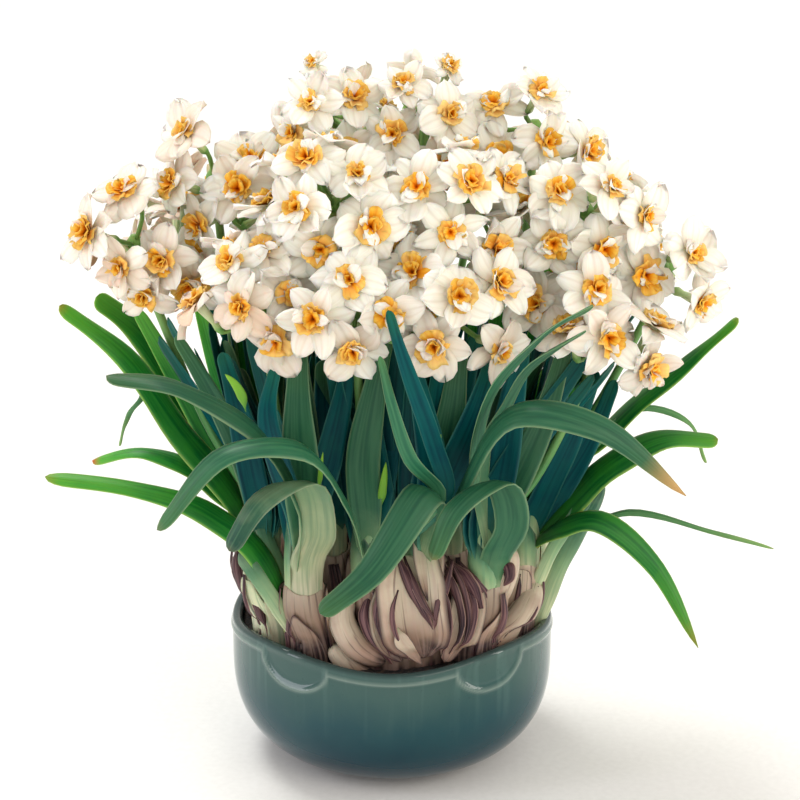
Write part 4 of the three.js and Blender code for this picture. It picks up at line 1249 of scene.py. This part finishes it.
def sheath(heap, shoot, index):
    """Three blanched sheath leaves that wrap each other, each cut off on the slant, round a plain core."""
    x, y, z = shell.points.T
    across = x * 2
    for k in range(3):
        seed = index * 3 + k
        turn = math.atan2(shoot.out[1], shoot.out[0]) + k * 2.2 + spread(seed, 97, 0.5)
        bearing = turn + across * 1.75
        top = mix(162, 136, k / 2) + 12 * draw(seed, 98) - 14 * np.abs(across) ** 1.7
        edge = np.maximum(np.abs(across), smooth(y, 0.8, 1))
        reach = SHEATH_RADIUS - 1.6 + 0.75 * k + 0.5 * np.sin(y * 2.6) + z * 0.7 * (1 - 0.6 * edge)
        reach *= 1 - 0.12 * smooth(y, 0.55, 1)
        points = shoot.at_height(mix(NECK_TOP - SHEATH_SUNK, top, y))
        points[:, 0] += reach * np.cos(bearing)
        points[:, 1] += reach * np.sin(bearing)
        heap.add(shell, points, (x * 30, y * 40), y, edge, draw(seed, 99))
    line = Course([shoot.neck - (0, 0, SHEATH_SUNK), shoot.neck, shoot.neck + (0, 0, 18)])
    cane_along(heap, cane, line, lambda z: (SHEATH_RADIUS - 2) * np.sqrt(1.02 - z ** 6), shoot.across, 0.5)


for index, shoot in enumerate(shoots):
    greens, pale = Heap(), Heap()
    long = [number for number, leaf in enumerate(LONG_LEAVES) if leaf[0] == index]
    own_leaves(greens, shoot, index, 2 if len(long) > 1 else 3)
    for number in long:
        long_leaf(greens, number)
    for number, leaf in enumerate(UPRIGHT_LEAVES + BACK_LEAVES):
        if leaf[0] == index:
            kind = SUNLIT if leaf in BACK_LEAVES else SHADED if number % 3 else LEAF
            upright_leaf(greens, number, leaf, kind)
    for place, width, course in YOUNG_LEAVES:
        if place == index:
            ribbon(greens, strip, sighted(course), width, ACROSS, (0, 0.3), 0.6, thick=1.0, root=0.05,
                   blunt=0.3, ripple=0.0, finish=YOUNG)
    for number, (place, width, course) in enumerate(OUTER_LEAVES):
        if place == index:
            ribbon(greens, sheet, sighted(course), width, ACROSS, (0.2, spread(number, 35, 0.4)),
                   mix(0.3, 0.7, draw(number, 36)), channel=-LEAF_CHANNEL, blunt=0.9, ripple=0.3,
                   finish=SHEATH, phase=number, rounded=True)
    filler_leaves(greens, shoot, index)
    cane_along(greens, cane, shoot.axis, lambda z: mix(SCAPE_RADIUS, SCAPE_TOP, z), shoot.across,
               draw(index, 85), finish=STEM)
    sheath(pale, shoot, index)
    name = f"shoot_{index + 1:02d}"
    piece_from(greens, name + "_leaves", GREENS, [name])
    piece_from(pale, name + "_sheath", ["sheath"], [name])


# Blooms

def petal(heap, stamp, own, angle, form, marks, finish=0):
    """One petal of a bloom. It leaves the middle at the slope rise and ends at the slope fall, in degrees
    above the bloom's plane. It cups or folds back at its edges, ripples, and has a keel along its middle."""
    face, first, second, look = own
    x, y, z = stamp.points.T
    y = 1 - (1 - y) ** 1.45
    across = x * 2
    rise, fall = math.radians(form["rise"]), math.radians(form["fall"])
    slope = fall - rise if abs(fall - rise) > 1e-3 else 1e-3
    now = rise + slope * y
    out = form["start"] + form["length"] * (np.sin(now) - math.sin(rise)) / slope
    up = form["lift"] - form["length"] * (np.cos(now) - math.cos(rise)) / slope
    if form["fan"]:
        outline = mix(form["root"], 1, smooth(y, 0, 0.75))
        out = out - form["length"] * 0.16 * across ** 2 * y ** 3
    else:
        tip = np.maximum(0, (y - 0.38) / 0.62)
        tapered = np.maximum(0.01, 1 - tip ** form["point"]) ** 0.62
        outline = mix(form["root"], 1, smooth(y, 0, 0.45)) * tapered
    side = across * form["breadth"] / 2 * outline
    bend = form["cup"] * across ** 2 * smooth(y, 0, 0.6)
    wave = form["ripple"] * np.sin(across * form["waves"] + form["phase"] + 1.5 * y) * y ** 1.5
    keel = -form["keel"] * np.exp(-(across / 0.22) ** 2) * smooth(y, 0, 0.3)
    off = bend + wave + keel + z * PETAL_THICK * (1 - 0.6 * np.abs(across) ** 3)
    radial = out - np.sin(now) * off
    height = up + np.cos(now) * off
    skew = form["skew"] * y ** 2
    cos, sin = np.cos(angle + skew), np.sin(angle + skew)
    ahead = radial * cos - side * sin
    aside = radial * sin + side * cos
    points = face + first * ahead[:, None] + second * aside[:, None] + look * height[:, None]
    heap.add(stamp, points, (x * form["breadth"], y * form["length"]), y, np.abs(across), *marks, finish)


def facing(face, heart, number):
    """Away from the umbel's heart and out of the clump, with a drift of its own."""
    away = unit(face - heart)
    out = (face - CANOPY_MIDDLE) / CANOPY_REACH
    out /= max(1, np.linalg.norm(out))
    drift = np.array((spread(number, 1, 0.2), spread(number, 2, 0.15), spread(number, 5, 0.2)))
    return unit(away + out + drift)


def room_for(face, look):
    """How far petals may reach from a bloom's middle and stay inside the solids' box."""
    low, high = (np.array(corner) / MM for corner in cad_box)
    flat = np.sqrt(1 - look ** 2) + 0.68 * np.abs(look)
    return float(np.min(np.minimum(high - face, face - low) / flat))


def further_blooms():
    """For each umbel, the places of a few more blooms in its gaps, and the ways that they look."""
    chosen = [(index, on_umbel(hearts[index], column, row)) for index, column, row in GAP_BLOOMS]
    taken = [face for group in face_groups for face in group] + [face for _, face in chosen]
    golden = math.pi * (3 - math.sqrt(5))
    ways = []
    for k, rise in enumerate(np.linspace(-0.55, 0.98, 60)):
        reach = math.sqrt(1 - rise * rise)
        ways.append(np.array((math.sin(golden * k) * reach, math.cos(golden * k) * reach, rise)))
    ways.sort(key=lambda way: abs(way[1] + 0.35) - 0.2 * way[2])
    groups = []
    for index, shoot in enumerate(shoots):
        group = [(face, facing(face, shoot.heart, 90 + k))
                 for k, (own, face) in enumerate(chosen) if own == index]
        for way in ways:
            face = shoot.heart + way * UMBEL_REACH * MORE_OUT
            look = turned(way, unit(np.cross(way, (0.3, 0.2, 1))), 0.5 + 0.3 * draw(index, 161))
            look = unit(look + (0, 0.2, 0.25))
            clear = min(np.linalg.norm(face - other) for other in taken)
            column, row = shows_at(face)
            aside, above = (np.array((column, row)) - MORE_MIDDLE) / MORE_HALF
            seen = math.hypot(aside, above) < 1 and row < MORE_LOWEST
            if clear > MORE_CLEAR and seen and room_for(face, look) > MORE_ROOM:
                group.append((face, look))
                taken.append(face)
            if len(group) >= MORE_MOST:
                break
        groups.append(group)
    return groups


def bloom(blooms, stalks, face, heart, number, look=None):
    """A double flower on its stalk: six tepals, seven ruffles, four inner petals and a tuft of five."""
    if look is None:
        look = facing(face, heart, number)
    first = turned(unit((-look[1], look[0], 0)), look, spread(number, 7, 1.5))
    second = np.cross(look, first)
    size = min(BLOOM_RADIUS * (0.98 + 0.14 * draw(number, 11)), room_for(face, look) / 1.04)
    low = float(smooth(LOW_BELOW - face[2], 0, LOW_REACH) * smooth(-face[1], *FRONT_SPAN))
    left = float(smooth(-face[0], *LEFT_SPAN))
    high = float(smooth(face[2], *HIGH_SPAN))
    size *= 1 - 0.06 * low - 0.13 * high
    face = face - look * mix(2.2, 6, low) + (0, 0, 4 * low)
    own = (face, first, second, look)
    # Painted shade: low blooms in front get a darker tone, a warmer tip and a deeper gold.
    tone = 0.6 - 0.48 * low + spread(number, 103, 0.05)
    pink = 0.04 + 0.4 * low + 0.55 * left * draw(number, 102)
    gold = mix(0.3, 0.65, draw(number, 154)) - 0.1 * low
    full = size * mix(0.74, 1.04, draw(number, 155))
    star = draw(number, 104)
    gap = draw(number, 153) * math.pi * 2
    seed = number * 40

    def pick(salt, low_end, high_end):
        return mix(low_end, high_end, draw(seed, salt))

    for k in range(6):
        seed = number * 40 + k
        petal(blooms, broad, own, math.radians(60 * k) + spread(seed, 111, 0.16), dict(
            length=size * pick(112, 0.82, 0.96), breadth=size * (pick(113, 0.76, 0.98) - 0.26 * star),
            start=size * 0.06, lift=0.5 if k % 2 else -0.7, rise=pick(114, -8, 34), fall=pick(115, -56, 34),
            cup=pick(116, -3.6, 3.4), ripple=pick(117, 0.4, 1.5), waves=pick(125, 2.0, 3.6), root=0.42,
            phase=draw(seed, 118) * 6, point=pick(105, 1.6, 3.6) - 0.5 * star, keel=pick(106, 0.2, 0.9),
            skew=spread(seed, 107, 0.24), fan=False),
            (tone + spread(seed, 119, 0.05), pink * mix(0.4, 1.3, draw(seed, 120))))
    for k in range(7):
        seed = number * 40 + 10 + k
        petal(blooms, ruffle, own, gap + math.radians(38 + 47 * k) + spread(seed, 121, 0.2), dict(
            length=full * pick(122, 0.32, 0.54), breadth=full * pick(123, 0.34, 0.54), start=size * 0.05,
            lift=0.9, rise=pick(124, 38, 70), fall=pick(126, -40, 50), cup=pick(127, -1.8, 1.8),
            ripple=pick(128, 0.6, 1.5), waves=pick(129, 3.5, 7), root=0.45, phase=draw(seed, 130) * 6,
            keel=pick(108, 0, 1.0), skew=spread(seed, 109, 0.35), fan=True),
            (gold + spread(seed, 131, 0.25), pick(132, 0.0, 0.4) + 0.2 * max(low, high)), 1)
    for k in range(4):
        seed = number * 40 + 20 + k
        petal(blooms, small, own, gap + spread(seed, 133, 0.5 if k < 2 else 3.1), dict(
            length=size * pick(134, 0.34, 0.6), breadth=size * pick(135, 0.26, 0.46), start=size * 0.03,
            lift=1.4, rise=pick(136, 30, 74), fall=pick(137, -40, 60), cup=pick(138, -1.6, 1.8),
            ripple=pick(139, 0.3, 0.9), waves=2.4, root=0.5, phase=draw(seed, 140) * 6, point=2.4, keel=0.3,
            skew=spread(seed, 110, 0.4), fan=False),
            (tone - 0.03, pink + 0.04))
    for k in range(5):
        seed = number * 40 + 30 + k
        petal(blooms, tuft, own, math.radians(72 * k + 20) + spread(seed, 141, 0.6), dict(
            length=full * pick(142, 0.2, 0.36), breadth=full * pick(143, 0.24, 0.38), start=size * 0.01,
            lift=1.8, rise=pick(144, 50, 84), fall=pick(145, -30, 70), cup=0.6, ripple=0.8, waves=4.0,
            root=0.5, phase=draw(seed, 146) * 6, keel=0.2, skew=spread(seed, 149, 0.5), fan=True),
            (gold + spread(seed, 147, 0.15), pick(148, 0.0, 0.12)), 1)
    end = face - look * BLOOM_TUBE
    bend = end - look * 4
    line = Course([face - look * 0.2, end, bend, mix(heart, bend, 0.1)])

    def girth(z):
        tube = mix(2.6, 1.6, smooth(z, 0, 0.28))
        ovary = 0.9 * np.exp(-((z - 0.42) / 0.09) ** 2)
        return mix(tube, PEDICEL_RADIUS * 0.9, smooth(z, 0.45, 0.6)) + ovary

    cane_along(stalks, twig, line, girth, first, draw(number, 150))


def spathe(stalks, shoot, index):
    """The dried bract that hangs from the knob."""
    out = level(draw(index, 151) * math.pi * 2)
    stops = [shoot.heart + out * away + (0, 0, rise) for away, rise in ((0, -4), (9, 4), (17, 2), (22, -9))]
    ribbon(stalks, sheet, Course(stops), 9, beside(out), (0.3, 0.6), draw(index, 152), thick=0.5,
           channel=0.3, root=0.7, ripple=0.6, finish=1, phase=index)


further = further_blooms()
count = 0
for index, shoot in enumerate(shoots):
    blooms, stalks = Heap(), Heap()
    for face, look in [(face, None) for face in face_groups[index]] + further[index]:
        bloom(blooms, stalks, face, shoot.heart, count, look)
        count += 1
    knob = Course([shoot.heart - (0, 0, KNOB_RADIUS + 3), shoot.heart, shoot.heart + (0, 0, KNOB_RADIUS)])
    cane_along(stalks, cane, knob, lambda z: 1.9 + 2.6 * np.sin(np.clip(z, 0, 1) * math.pi) ** 1.2,
               shoot.across, 0.5)
    spathe(stalks, shoot, index)
    name = f"umbel_{index + 1:02d}"
    piece_from(blooms, name + "_blooms", ["tepal", "crown"], [name])
    piece_from(stalks, name + "_stalks", ["pedicel", "spathe"], [name])


# Floor, light and camera

def studio_floor():
    start_clean()
    bpy.ops.mesh.primitive_plane_add(size=30)
    floor = bpy.context.object
    floor.name = floor.data.name = "studio_floor"
    material, tree, shader = finish("matt_pale_backdrop_paper", "#F5F5F4", 0.9)
    spot = add(tree, "ShaderNodeTexCoord").outputs["Object"]
    fibre = add(tree, "ShaderNodeTexNoise", {"Vector": spot, "Scale": 300, "Detail": 2})
    body = add(tree, "ShaderNodeValToRGB", {"Fac": fibre}, stops=[(0.3, "#F3F3F2"), (0.7, "#F8F8F7")])
    wire(tree, shader, {"Base Color": body})
    floor.data.materials.append(material)


def lamp(name, place, size, watts, colour):
    light = bpy.data.lights.new(name, "AREA")
    light.shape = "RECTANGLE"
    light.size, light.size_y = size
    light.energy = watts
    light.color = srgb(colour)[:3]
    obj = placed(name, light)
    obj.location = place
    aim = Vector((0, 0, VIEW_AIM * MM)) - Vector(place)
    obj.rotation_euler = aim.to_track_quat("-Z", "Y").to_euler()


studio_floor()
lamp("fill", (0.9, -1.4, 1.0), (1.2, 0.8), 9, "#FFF3E4")
lamp("side", (-1.4, -0.6, 0.6), (0.3, 1.2), 7, "#F7F4FF")
lamp("strip", (1.3, -0.35, 0.5), (0.16, 1.1), 5, "#FFF8F0")
sun = bpy.data.lights.new("key", "SUN")
sun.energy = 1.6
sun.angle = math.radians(24)
sun.color = srgb("#FFFEFA")[:3]
sunlight = placed("key", sun)
sunlight.rotation_euler = Vector((0.5, -0.45, -1.4)).to_track_quat("-Z", "Y").to_euler()

world = bpy.data.worlds.new("studio")
world.use_nodes = True
world.node_tree.nodes["Background"].inputs["Color"].default_value = srgb("#F6F2EC")
world.node_tree.nodes["Background"].inputs["Strength"].default_value = 0.8
bpy.context.scene.world = world
bpy.context.scene.view_settings.view_transform = "Standard"

camera = placed("camera", bpy.data.cameras.new("camera"))
camera.location = EYE * MM
camera.rotation_euler = (math.pi / 2 - TILT, 0, 0)
camera.data.sensor_width = SENSOR
camera.data.lens = SENSOR * VIEW_FOCAL / PICTURE
camera.data.shift_x = (PICTURE / 2 - VIEW_COLUMN) / PICTURE
camera.data.shift_y = (VIEW_ROW - PICTURE / 2) / PICTURE
bpy.context.scene.camera = camera
